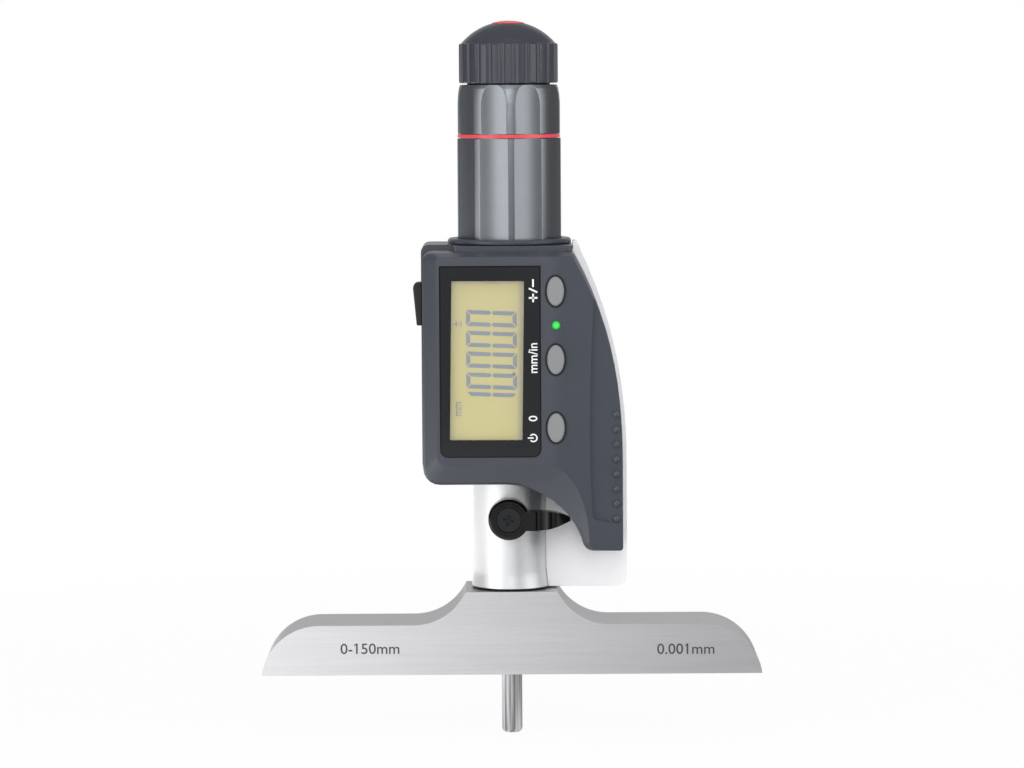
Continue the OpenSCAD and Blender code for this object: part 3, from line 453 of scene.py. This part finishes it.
# ---- thimble ----
# A fluted aluminium sleeve, turned, milled with nine shallow hollows and anodised dark grey. A nut
# clamps it on the spindle, and the red ring snaps into a groove below its top.


def anodised():
    skin = Surface("grey_anodising", Metallic=1.0)
    rings = skin.start.noise(skin.start.stretch(skin.place, (40, 40, 9000)), 1.0, 2.0)
    cloud = skin.start.noise(skin.place, 220, 3.0)
    return skin.feed(
        Base_Color=skin.start.mix(rings * 0.5 + cloud * 0.5, tone("7C8084"), tone("898D92")),
        Roughness=0.3 + rings * 0.08,
        Normal=rings.bump(0.1, 0.006 * MM),
    )


def red_plastic():
    red = Surface("red_plastic", Metallic=0.0, Coat_Weight=0.3, Coat_Roughness=0.15)
    cloud = red.start.noise(red.place, 900, 2.0)
    return red.feed(
        Base_Color=red.start.mix(cloud, tone("D93A49"), tone("E54C59")),
        Roughness=0.36 + cloud * 0.08,
        Normal=cloud.bump(0.05, 0.02 * MM),
    )


grey_skin = anodised()
red = red_plastic()


def revolved(profile, columns):
    """Points and faces of a closed (radius, z) profile turned round Z."""
    count = len(profile)
    points, faces = [], []
    for k in range(columns):
        angle = 2 * math.pi * k / columns
        points += [(r * math.cos(angle), r * math.sin(angle), z) for r, z in profile]
        here, there = k * count, (k + 1) % columns * count
        for i in range(count):
            after = (i + 1) % count
            faces.append((here + i, there + i, there + after, here + after))
    return points, faces


def flute_tree(material):
    """Geometry Nodes that press every point back to the wall of the nearest round milled flute."""
    tree = bpy.data.node_groups.new("milled_flutes", "GeometryNodeTree")
    tree.interface.new_socket("Geometry", in_out="INPUT", socket_type="NodeSocketGeometry")
    for label in ("Flutes", "First Angle", "Cutter Place", "Cutter Radius"):
        tree.interface.new_socket(label, in_out="INPUT", socket_type="NodeSocketFloat")
    tree.interface.new_socket("Geometry", in_out="OUTPUT", socket_type="NodeSocketGeometry")
    entry = tree.nodes.new("NodeGroupInput")
    blank, flutes, first, away, cutter = (Signal(tree, entry.outputs[i]) for i in range(5))
    place = blank.node("GeometryNodeInputPosition")
    split = blank.node("ShaderNodeSeparateXYZ", {}, {"Vector": place}).socket.node.outputs
    x, y, z = (Signal(tree, split[i]) for i in range(3))
    radius = (x * x + y * y) ** 0.5
    pitch = 2 * math.pi / flutes
    turned_by = blank.math("ARCTAN2", y, x) - first + pitch * 0.5
    angle = blank.math("FLOORED_MODULO", turned_by, pitch) - pitch * 0.5
    sideways = away * blank.math("SINE", angle)
    wall = away * blank.math("COSINE", angle) - (cutter * cutter - sideways * sideways) ** 0.5
    share = blank.math("MINIMUM", radius, wall) / radius
    moved = blank.node("ShaderNodeCombineXYZ", {}, {0: x * share, 1: y * share, 2: z})
    milled = blank.node("GeometryNodeSetPosition", {}, {"Geometry": blank, "Position": moved})
    real = blank.node("GeometryNodeRealizeInstances", {}, {"Geometry": milled})
    painted = blank.node("GeometryNodeSetMaterial", {}, {"Geometry": real, "Material": material})
    tree.links.new(painted.socket, tree.nodes.new("NodeGroupOutput").inputs[0])
    return tree


def grown(name, points, faces, tree, values, material, body):
    """The plain mesh that a tree makes of a start shape."""
    start = bpy.data.meshes.new(name + "_start")
    start.from_pydata(points, [], faces)
    holder = bpy.data.objects.new(name + "_start", start)
    bpy.context.scene.collection.objects.link(holder)
    modifier = holder.modifiers.new(tree.name, "NODES")
    modifier.node_group = tree
    for socket in tree.interface.items_tree:
        if socket.in_out == "INPUT" and socket.name in values:
            modifier[socket.identifier] = values[socket.name]
    evaluated = holder.evaluated_get(bpy.context.evaluated_depsgraph_get())
    data = bpy.data.meshes.new_from_object(evaluated)
    bpy.data.objects.remove(holder)
    data.name = name
    return finished(name, data, material, body)


thimble_low, thimble_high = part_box("thimble")
skirt_z, top_z = thimble_low.z / MM, thimble_high.z / MM
outer_r, upper_r, mouth_r = 10.55, 10.4, 9.8
groove_r, groove_low, groove_high, broken = 9.7, 108.43, 109.37, 0.08
skirt_bore, cap_bore, spindle_bore, sleeve_bore = 8.7, 8.6, 4.63, 4.8
web_low, web_step, web_top = 99.94, 104.04, 114.0
shoulder = [(upper_r, 115.6), (upper_r - 0.12, 117.22), (upper_r - 0.33, 118.48), (mouth_r, top_z)]
eased = [(a[0] + (b[0] - a[0]) * i / 8, a[1] + (b[1] - a[1]) * i / 8)
         for a, b in zip(shoulder, shoulder[1:]) for i in range(8)]
profile = [
    (skirt_bore, skirt_z), (outer_r - 0.2, skirt_z), (outer_r - 0.04, skirt_z + 0.06),
    (outer_r, skirt_z + 0.2), (outer_r, groove_low - broken), (outer_r - broken, groove_low),
    (groove_r, groove_low), (groove_r, groove_high), (upper_r - broken, groove_high),
    (upper_r, groove_high + broken),
    *eased, (mouth_r, top_z), (cap_bore, top_z), (cap_bore, web_top), (spindle_bore, web_top),
    (spindle_bore, web_step), (sleeve_bore, web_step), (sleeve_bore, web_low), (skirt_bore, web_low),
]
points, faces = revolved([(r * MM, z * MM) for r, z in profile], 720)
flute_count, first_flute, flute_depth, cutter_r = 9.0, -67.5, 0.79, 13.0
flutes = {
    "Flutes": flute_count, "First Angle": math.radians(first_flute),
    "Cutter Place": (outer_r + cutter_r - flute_depth) * MM, "Cutter Radius": cutter_r * MM,
}
thimble = grown("fluted_thimble", points, faces, flute_tree(grey_skin), flutes, grey_skin,
                body_of("thimble"))
smooth_by_angle(thimble, 32)
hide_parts("thimble")
dress("red_ring", red, edge=0.08 * MM)
paint("thimble_nut", black_steel)


# ---- ratchet and speeder cap ----
# The ratchet wheel is screwed on the spindle's end. A ribbed moulded cap drives it through a
# spring washer, and a red disc closes the cap's dome.


def moulded(name, dark, light, roughness, texture=0.12):
    """Satin moulded plastic with the fine grain of a spark-eroded mould."""
    plastic = Surface(name, Metallic=0.0)
    grain = plastic.start.noise(plastic.place, 5200, 2.0, 0.6)
    cloud = plastic.start.noise(plastic.place, 90, 3.0)
    return plastic.feed(
        Base_Color=plastic.start.mix(cloud, tone(dark), tone(light)),
        Roughness=roughness - 0.04 + grain * 0.1,
        Normal=grain.bump(texture, 0.02 * MM),
    )


cap_plastic = moulded("cap_plastic", "33353D", "3B3D46", 0.3)
paint("ratchet_wheel", black_steel)
paint("ratchet_spring", satin)
dress("speeder_cap", cap_plastic, edge=0.08 * MM, angle=28)
dress("cap_insert", red, edge=0.08 * MM)


# ---- electronics ----
# The board carries three dome switches, the data socket and two elastomer strips that feed the
# display. The cell sits behind it with its two spring contacts.


def black_rubber(name, dark, light, roughness):
    rubber = Surface(name, Metallic=0.0)
    grain = rubber.start.noise(rubber.place, 4200, 2.0)
    return rubber.feed(
        Base_Color=rubber.start.mix(grain, tone(dark), tone(light)),
        Roughness=roughness + grain * 0.15,
        Normal=grain.bump(0.15, 0.02 * MM),
    )


rubber = black_rubber("black_rubber", "1B1C1E", "26272A", 0.55)
socket_plastic = moulded("socket_plastic", "191A1C", "222326", 0.5)
contact_gold = turned("contact_gold", "C79A45", "E0BC70", 0.25)
paint("contact_strips", rubber)
paint("button_switches", satin)
paint("data_connector", socket_plastic)
paint("battery_cell", satin)
paint("battery_contacts", contact_gold)


# ---- display ----
# A liquid crystal glass over a yellowish reflector, joined to the board by two elastomer strips. Its
# figures, the unit and a small plus-minus are blue-grey segments that run up the housing.


def display_amber(low, high):
    amber = Surface("display_glass", Metallic=0.0, Coat_Weight=0.5, Coat_Roughness=0.05)
    across = (amber.x - low[0]) / (high[0] - low[0])
    upward = (amber.z - low[1]) / (high[1] - low[1])
    cloud = amber.start.noise(amber.place, 140, 2.0)
    # Painted light: the amber is mixed lighter towards the bottom.
    amber_painted_lighter_low = amber.start.mix(upward * 0.8 + cloud * 0.2, tone("C0B76B"), tone("BCB170"))
    # Painted shadow of the window's border: darkest along the right edge, lighter along the left and top.
    rim = across + (upward - 0.5) * -0.03
    right, left, top = rim.step(0.9, 0.985), 1 - across.step(-0.01, 0.04), upward.step(0.96, 1.0)
    painted_rim_shadow = right * 0.62 + left * 0.2 + top * 0.15
    return amber.feed(
        Base_Color=amber.start.mix(painted_rim_shadow.clamped(), amber_painted_lighter_low, tone("8F8C74")),
        Roughness=0.3 + cloud * 0.05,
    )


def segment_ink():
    ink = Surface("segment_ink", Metallic=0.0)
    cloud = ink.start.noise(ink.place, 1500, 2.0)
    return ink.feed(
        Base_Color=ink.start.mix(cloud, tone("66727F"), tone("76828F")),
        Roughness=0.4 + cloud * 0.1,
    )


def figure(kind, base_z, top_x, foot_x, width, thick):
    """Segments of one figure as (x, z) outlines; its foot is at foot_x and it is read upwards."""
    gap, nick = 0.07 * MM, 0.3 * MM
    half_x = (top_x + foot_x) / 2
    far = base_z + width
    shapes = []
    for rail, inward in ((base_z, 1), (far, -1)) if kind == "0" else ((far, -1),):
        inner = rail + inward * thick
        core = rail + inward * thick / 2
        for end, away in ((top_x, 1), (foot_x, -1)):
            near_half = half_x - away * (gap + nick)
            shapes.append([(end + away * gap * 2, rail), (near_half, rail), (half_x - away * gap, core),
                           (near_half, inner), (end + away * (thick + gap * 2), inner)])
    if kind == "0":
        for end, away in ((top_x, 1), (foot_x, -1)):
            deep = end + away * thick
            shapes.append([(end, base_z + gap * 2), (deep, base_z + thick + gap * 2),
                           (deep, far - thick - gap * 2), (end, far - gap * 2)])
    return shapes


def lean(points, about, tangent):
    """Slants (x, z) points: further along X moves them down by tangent."""
    return [(x, z - (x - about) * tangent) for x, z in points]


window_low, window_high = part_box("display_window")
lcd_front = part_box("lcd_panel")[0].y
pane_low = Vector((-11.85 * MM, 0, 48.62 * MM))
pane_high = Vector((2.62 * MM, 0, 80.38 * MM))
tilt = math.tan(math.radians(0.9))
paint("lcd_panel", display_amber((pane_low.x, pane_low.z), (pane_high.x, pane_high.z)))
ink = segment_ink()
figure_top, figure_foot = -8.75 * MM, 1.38 * MM
figure_wide, segment_wide = 3.2 * MM, 0.82 * MM
slant = math.tan(math.radians(2.4))
reading = (("1", 54.85), ("0", 58.72), ("0", 62.92), ("0", 67.06), ("0", 71.22))
segments = []
for kind, start in reading:
    segments += figure(kind, start * MM, figure_top, figure_foot, figure_wide, segment_wide)
point_x, point_z, point_half = 0.76 * MM, 61.97 * MM, 0.3 * MM
square = ((-1, -1), (1, -1), (1, 1), (-1, 1))
segments.append([(point_x + dx * point_half, point_z + dz * point_half) for dx, dz in square])
slanted = [lean(outline, (figure_top + figure_foot) / 2, slant) for outline in segments]
figures = [slab(outline, lcd_front - 0.03 * MM, lcd_front - 0.005 * MM) for outline in slanted]
one_mesh("display_figures", figures, ink, "gauge_body")

hair, ink_front = 0.09, lcd_front - 0.02 * MM
letter_foot, letter_top, leg_pitch = -9.7, -10.8, 0.55
unit_lines = []
for start in (53.5, 55.0):
    legs = [start + i * leg_pitch for i in range(3)]
    unit_lines += [[(letter_foot, leg), (letter_top, leg)] for leg in legs]
    unit_lines.append([(letter_top, legs[0] - hair), (letter_top, legs[2] + hair)])
mark("display_unit", unit_lines, hair, ink_front, ink)
sign_x, sign_z, arm, under = -10.7, 71.8, 0.6, 0.95
limit_lines = [
    [(sign_x + arm, sign_z), (sign_x - arm, sign_z)],
    [(sign_x, sign_z - arm), (sign_x, sign_z + arm)],
    [(sign_x + under, sign_z - arm), (sign_x + under, sign_z + arm)],
]
mark("display_limits", limit_lines, hair, ink_front, ink)


# ---- front housing ----
# A moulded shell in dark blue-grey, bevelled all round, with a raised flat round the display, a
# hollow for the thumb and eight grip bumps. Screws from the rear hold it to the frame.

housing = moulded("housing_plastic", "3B3F48", "42464F", 0.3, texture=0.1)
dress("front_shell", housing, edge=0.14 * MM, angle=9, segments=3)


# ---- window ----
# A flush clear pane glued into the front shell, printed black round the display. Beside the three
# buttons stand white marks: plus and minus, the units, and a switch sign with a zero.


def glossy_black(name, dark, light):
    gloss = Surface(name, Metallic=0.0)
    cloud = gloss.start.noise(gloss.place, 60, 2.0)
    return gloss.feed(
        Base_Color=gloss.start.mix(cloud, tone(dark), tone(light)),
        Roughness=0.08 + cloud * 0.03,
    )


def clear_pane():
    clear = Surface("clear_pane", Metallic=0.0, Roughness=0.05)
    haze = clear.start.noise(clear.place, 400, 2.0)
    return clear.feed(
        Base_Color=clear.start.mix(haze, tone("F0F0F0"), tone("FFFFFF")),
        Alpha=0.05 + haze * 0.04,
    )


def white_print():
    white = Surface("white_print", Metallic=0.0)
    cloud = white.start.noise(white.place, 3000, 2.0)
    return white.feed(
        Base_Color=white.start.mix(cloud, tone("E9EAEC"), tone("F6F6F7")),
        Roughness=0.45 + cloud * 0.1,
    )


def rounded(low, high, radius_low, radius_high):
    """A rounded (x, z) rectangle, anticlockwise from its lower left."""
    points, steps = [], 6
    corners = (
        (low.x, low.z, radius_low, 180, 1, 1), (high.x, low.z, radius_low, 270, -1, 1),
        (high.x, high.z, radius_high, 0, -1, -1), (low.x, high.z, radius_high, 90, 1, -1),
    )
    for x, z, radius, start, sx, sz in corners:
        for i in range(steps + 1):
            angle = math.radians(start + 90 * i / steps)
            points.append((x + radius * (sx + math.cos(angle)), z + radius * (sz + math.sin(angle))))
    return points


def ring_plate(outer, inner, front, back):
    """A flat plate with one opening, from two outlines with as many points."""
    count = len(outer)
    loops = [(outer, front), (inner, front), (inner, back), (outer, back)]
    points = [(x, y, z) for loop, y in loops for x, z in loop]
    faces = []
    for k in range(4):
        a, b = k * count, (k + 1) % 4 * count
        faces += [(a + i, a + (i + 1) % count, b + (i + 1) % count, b + i) for i in range(count)]
    return points, faces


foot_r, top_r, rim_wide, opening_r = 1.6 * MM, 0.25 * MM, 0.28 * MM, 0.15 * MM
middle_x, middle_z = -4.6 * MM, (pane_low.z + pane_high.z) / 2
opening = [(x + (z - middle_z) * tilt, z - (x - middle_x) * tilt * 0.3)
           for x, z in rounded(pane_low, pane_high, opening_r, opening_r)]
outer_edge = rounded(window_low, window_high, foot_r, top_r)
inset = Vector((rim_wide, 0, rim_wide))
printed_edge = rounded(window_low + inset, window_high - inset, foot_r - 0.25 * MM, opening_r)
border = one_mesh("window_border", [ring_plate(printed_edge, opening, window_low.y, window_high.y)],
                  glossy_black("window_border", "191A1D", "1F2023"), "gauge_body")
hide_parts("display_window")
one_mesh("window_edge", [ring_plate(outer_edge, printed_edge, window_low.y, window_high.y)],
         glossy_black("window_edge", "050506", "0A0A0B"), "gauge_body")
glass = slab([(x * 0.999, z) for x, z in opening], window_low.y, window_low.y + 0.3 * MM)
one_mesh("window_pane", [glass], clear_pane(), "gauge_body")

white = white_print()
mark_front = window_low.y - 0.004 * MM
near_x, mid_x, away_x, limits_z = 3.8, 4.65, 5.5, 77.0
limits_lines = [
    [(near_x, limits_z), (away_x, limits_z)],
    [(mid_x, limits_z - 0.85), (mid_x, limits_z + 0.85)],
    [(away_x, limits_z + 1.1), (near_x, limits_z + 1.9)],
    [(mid_x, limits_z + 2.15), (mid_x, limits_z + 3.75)],
]
mark("limits_mark", limits_lines, 0.17, mark_front, white)
units_place = (4.55 * MM, mark_front, 65.0 * MM)
lettering("units_mark", "mm/in", 1.85 * MM, units_place, 90, 0.01 * MM, white, wide=0.95)
switch_x, switch_z, switch_r = 4.55, 49.0, 0.72
turns = [math.radians(degrees) for degrees in range(35, 326, 15)]
bow = [(switch_x - switch_r * math.cos(turn), switch_z + switch_r * math.sin(turn)) for turn in turns]
bar = [(switch_x - 1.1, switch_z), (switch_x + 0.05, switch_z)]
mark("switch_mark", [bow, bar], 0.13, mark_front, white)
zero_place = (4.5 * MM, mark_front, 52.9 * MM)
lettering("zero_mark", "0", 1.75 * MM, zero_place, 90, 0.01 * MM, white)


# ---- buttons and status light ----
# Three oval moulded buttons, each in a thin black rubber ring that seals it, press on the board's
# switches. A clear green light pipe stands between the upper two.

button_plastic = moulded("button_plastic", "808283", "888A8B", 0.42, texture=0.06)
for name in ("button_tol", "button_inc", "button_set"):
    dress(name, button_plastic, edge=0.1 * MM, angle=30)
seal_rubber = black_rubber("seal_rubber", "070708", "0D0E0F", 0.45)
dress("button_seals", seal_rubber, edge=0.04 * MM)


def green_light():
    light = Surface("green_light", Metallic=0.0, Emission_Strength=0.25)
    glow = light.start.noise(light.place, 900, 1.0)
    low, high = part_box("light_pipe")
    across, upward = light.x - (low.x + high.x) / 2, light.z - (low.z + high.z) / 2
    rim = ((across * across + upward * upward) ** 0.5) / ((high.x - low.x) / 2)
    colour = light.start.mix(rim.step(0.3, 1.05) * 0.9 + glow * 0.1, tone("35E24F"), tone("1A8A30"))
    return light.feed(Base_Color=colour, Emission_Color=colour, Roughness=0.25 + glow * 0.05)


dress("light_pipe", green_light(), edge=0.12 * MM)


# ---- rear housing and battery cover ----
# The rear shell closes the frame from behind. Four screws go through it, and a cover with a coin
# slot and a rubber seal holds the cell.

dress("rear_shell", housing, edge=0.12 * MM, angle=20)
dress("shell_screws", black_steel, edge=0.05 * MM)
dress("battery_cap", cap_plastic, edge=0.12 * MM)
paint("battery_seal", rubber)


# ---- collar ----
# A ring moulded in the housing's plastic, which the thimble comes out of. Its foot is clamped
# between the two shells.

dress("collar_ring", housing, edge=0.12 * MM, angle=25)


# ---- lock lever ----
# A small black lever with two finger scallops, on a cross-recess screw in the stem. Turning it
# presses a bronze pin on the spindle.


def black_gloss():
    gloss = Surface("black_gloss", Metallic=0.0, Specular_IOR_Level=0.35)
    cloud = gloss.start.noise(gloss.place, 1300, 2.0)
    return gloss.feed(
        Base_Color=gloss.start.mix(cloud, tone("050506"), tone("0A0A0B")),
        Roughness=0.17 + cloud * 0.08,
        Normal=cloud.bump(0.08, 0.02 * MM),
    )


lever_black = black_gloss()
dress("lock_lever", lever_black, edge=0.18 * MM, angle=28, segments=3)
dress("lock_screw", blackened_steel("screw_black", "2C2D2F", "47484B"), edge=0.06 * MM)
paint("lock_pin", bronze)


# ---- data port cover ----
# A black rubber plug with rounded edges, pushed into the socket's opening on the left side of the
# housing to keep dirt out.

cover_rubber = black_rubber("cover_rubber", "070708", "0F1011", 0.4)
dress("port_cover", cover_rubber, edge=0.25 * MM, segments=3)


# ---- camera, light and floor ----
# A long lens a little above the middle of the gauge. Soft boxes at both sides, a strip in front
# and a box overhead light it, and it stands on a white floor in white surroundings.

bpy.context.scene.view_settings.view_transform = "Standard"
camera = bpy.data.objects.new("camera", bpy.data.cameras.new("camera"))
bpy.context.scene.collection.objects.link(camera)
camera.data.lens = 136.03
camera.data.sensor_width = 36
camera.data.clip_start = 0.01
camera.data.clip_end = 20
camera.location = (0.35 * MM, -785.4 * MM, 124.9 * MM)
look_down, roll = math.radians(4.84), math.radians(-0.35)
aimed = Matrix.Rotation(math.radians(90) - look_down, 3, "X") @ Matrix.Rotation(roll, 3, "Z")
camera.rotation_euler = aimed.to_euler()
bpy.context.scene.camera = camera


def soft_box(name, place, aim, size, power):
    lamp = bpy.data.lights.new(name, "AREA")
    lamp.shape = "RECTANGLE"
    lamp.size, lamp.size_y = size
    lamp.energy = power
    holder = bpy.data.objects.new(name, lamp)
    bpy.context.scene.collection.objects.link(holder)
    holder.location = place
    holder.rotation_euler = (Vector(aim) - Vector(place)).to_track_quat("-Z", "Y").to_euler()


middle = (0, 0, 0.07)
soft_box("left_box", (-0.6, -0.47, 0.15), middle, (0.55, 0.75), 2.7)
soft_box("right_box", (0.66, -0.38, 0.15), middle, (0.62, 0.75), 2.6)
soft_box("front_strip", (0.0, -1.0, 0.41), middle, (0.16, 0.55), 1.6)
soft_box("top_box", (0.05, -0.35, 0.75), middle, (0.5, 0.35), 1.3)


def studio_world():
    world = bpy.data.worlds.new("studio")
    bpy.context.scene.world = world
    world.use_nodes = True
    tree = world.node_tree
    tree.nodes.clear()
    start = Signal(tree)
    place = start.node("ShaderNodeTexCoord", {}, {}, output=0)
    split = start.node("ShaderNodeSeparateXYZ", {}, {"Vector": place})
    ahead, upward = (Signal(tree, split.socket.node.outputs[i]) for i in (1, 2))
    rays = start.node("ShaderNodeLightPath").socket.node.outputs
    camera_ray, glossy_ray, clear_ray = (
        Signal(tree, rays[name]) for name in ("Is Camera Ray", "Is Glossy Ray", "Is Transmission Ray"))
    mirror_ray = start.math("MAXIMUM", glossy_ray, clear_ray)
    behind = ahead.step(0.72, 0.92) * 0.7
    around = 0.22 + (0 - ahead).step(0.3, 0.9) * 0.16 + upward.step(0.5, 0.9) * 0.12
    mirrored = start.math("MAXIMUM", behind, around)
    shown = start.math("MAXIMUM", camera_ray, mirror_ray * mirrored)
    scattered = 1 - start.math("MAXIMUM", camera_ray, mirror_ray)
    light = {"Color": (1, 1, 1, 1), "Strength": shown + scattered * 0.55}
    glow = start.node("ShaderNodeBackground", {}, light)
    out = tree.nodes.new("ShaderNodeOutputWorld")
    tree.links.new(glow.socket, out.inputs["Surface"])


def white_floor():
    """A floor white to the camera but for the shadow; metal mirrors it lighter at its left."""
    floor = Surface("white_floor", Roughness=0.9)
    rays = floor.start.node("ShaderNodeLightPath").socket.node.outputs
    camera_ray, glossy_ray = (Signal(floor.tree, rays[name]) for name in ("Is Camera Ray", "Is Glossy Ray"))

    def shining(strength):
        return floor.start.node("ShaderNodeEmission", {}, {"Color": (1, 1, 1, 1), "Strength": strength})

    def blend(factor, first, second):
        return floor.start.node("ShaderNodeMixShader", {}, {0: factor, 1: first, 2: second})

    near = (floor.y * 5 + 2.2).clamped()
    card = (0.5 - floor.x * 6).clamped() * 0.75 + 0.3 + near * (0.3 - floor.x * 8).clamped() * 0.8
    brightest = 2.0
    mirrored = blend(card / brightest, shining(0.0), shining(brightest))
    shown = blend(glossy_ray, shining(1.0), mirrored)
    far = (floor.x * floor.x + floor.y * floor.y).step(0.012, 0.09)
    plain = Signal(floor.tree, floor.shader.outputs[0])
    mixed = blend(glossy_ray + camera_ray * (0.95 + far * 0.05), plain, shown)
    floor.tree.links.new(mixed.socket, floor.tree.nodes["Material Output"].inputs["Surface"])
    grain = floor.start.noise(floor.place, 40, 2.0)
    return floor.feed(Base_Color=floor.start.mix(grain, (0.85, 0.85, 0.85, 1), (0.88, 0.88, 0.88, 1)))


studio_world()
floor_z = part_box("measuring_rod")[0].z - 0.1 * MM
sheet, floor_r = bpy.data.meshes.new("floor"), 0.6
turns = [math.radians(degrees) for degrees in range(0, 360, 5)]
rim = [(floor_r * math.cos(turn), floor_r * math.sin(turn), floor_z) for turn in turns]
sheet.from_pydata(rim, [], [tuple(range(len(rim)))])
sheet.materials.append(white_floor())
floor = bpy.data.objects.new("floor", sheet)
bpy.context.scene.collection.objects.link(floor)
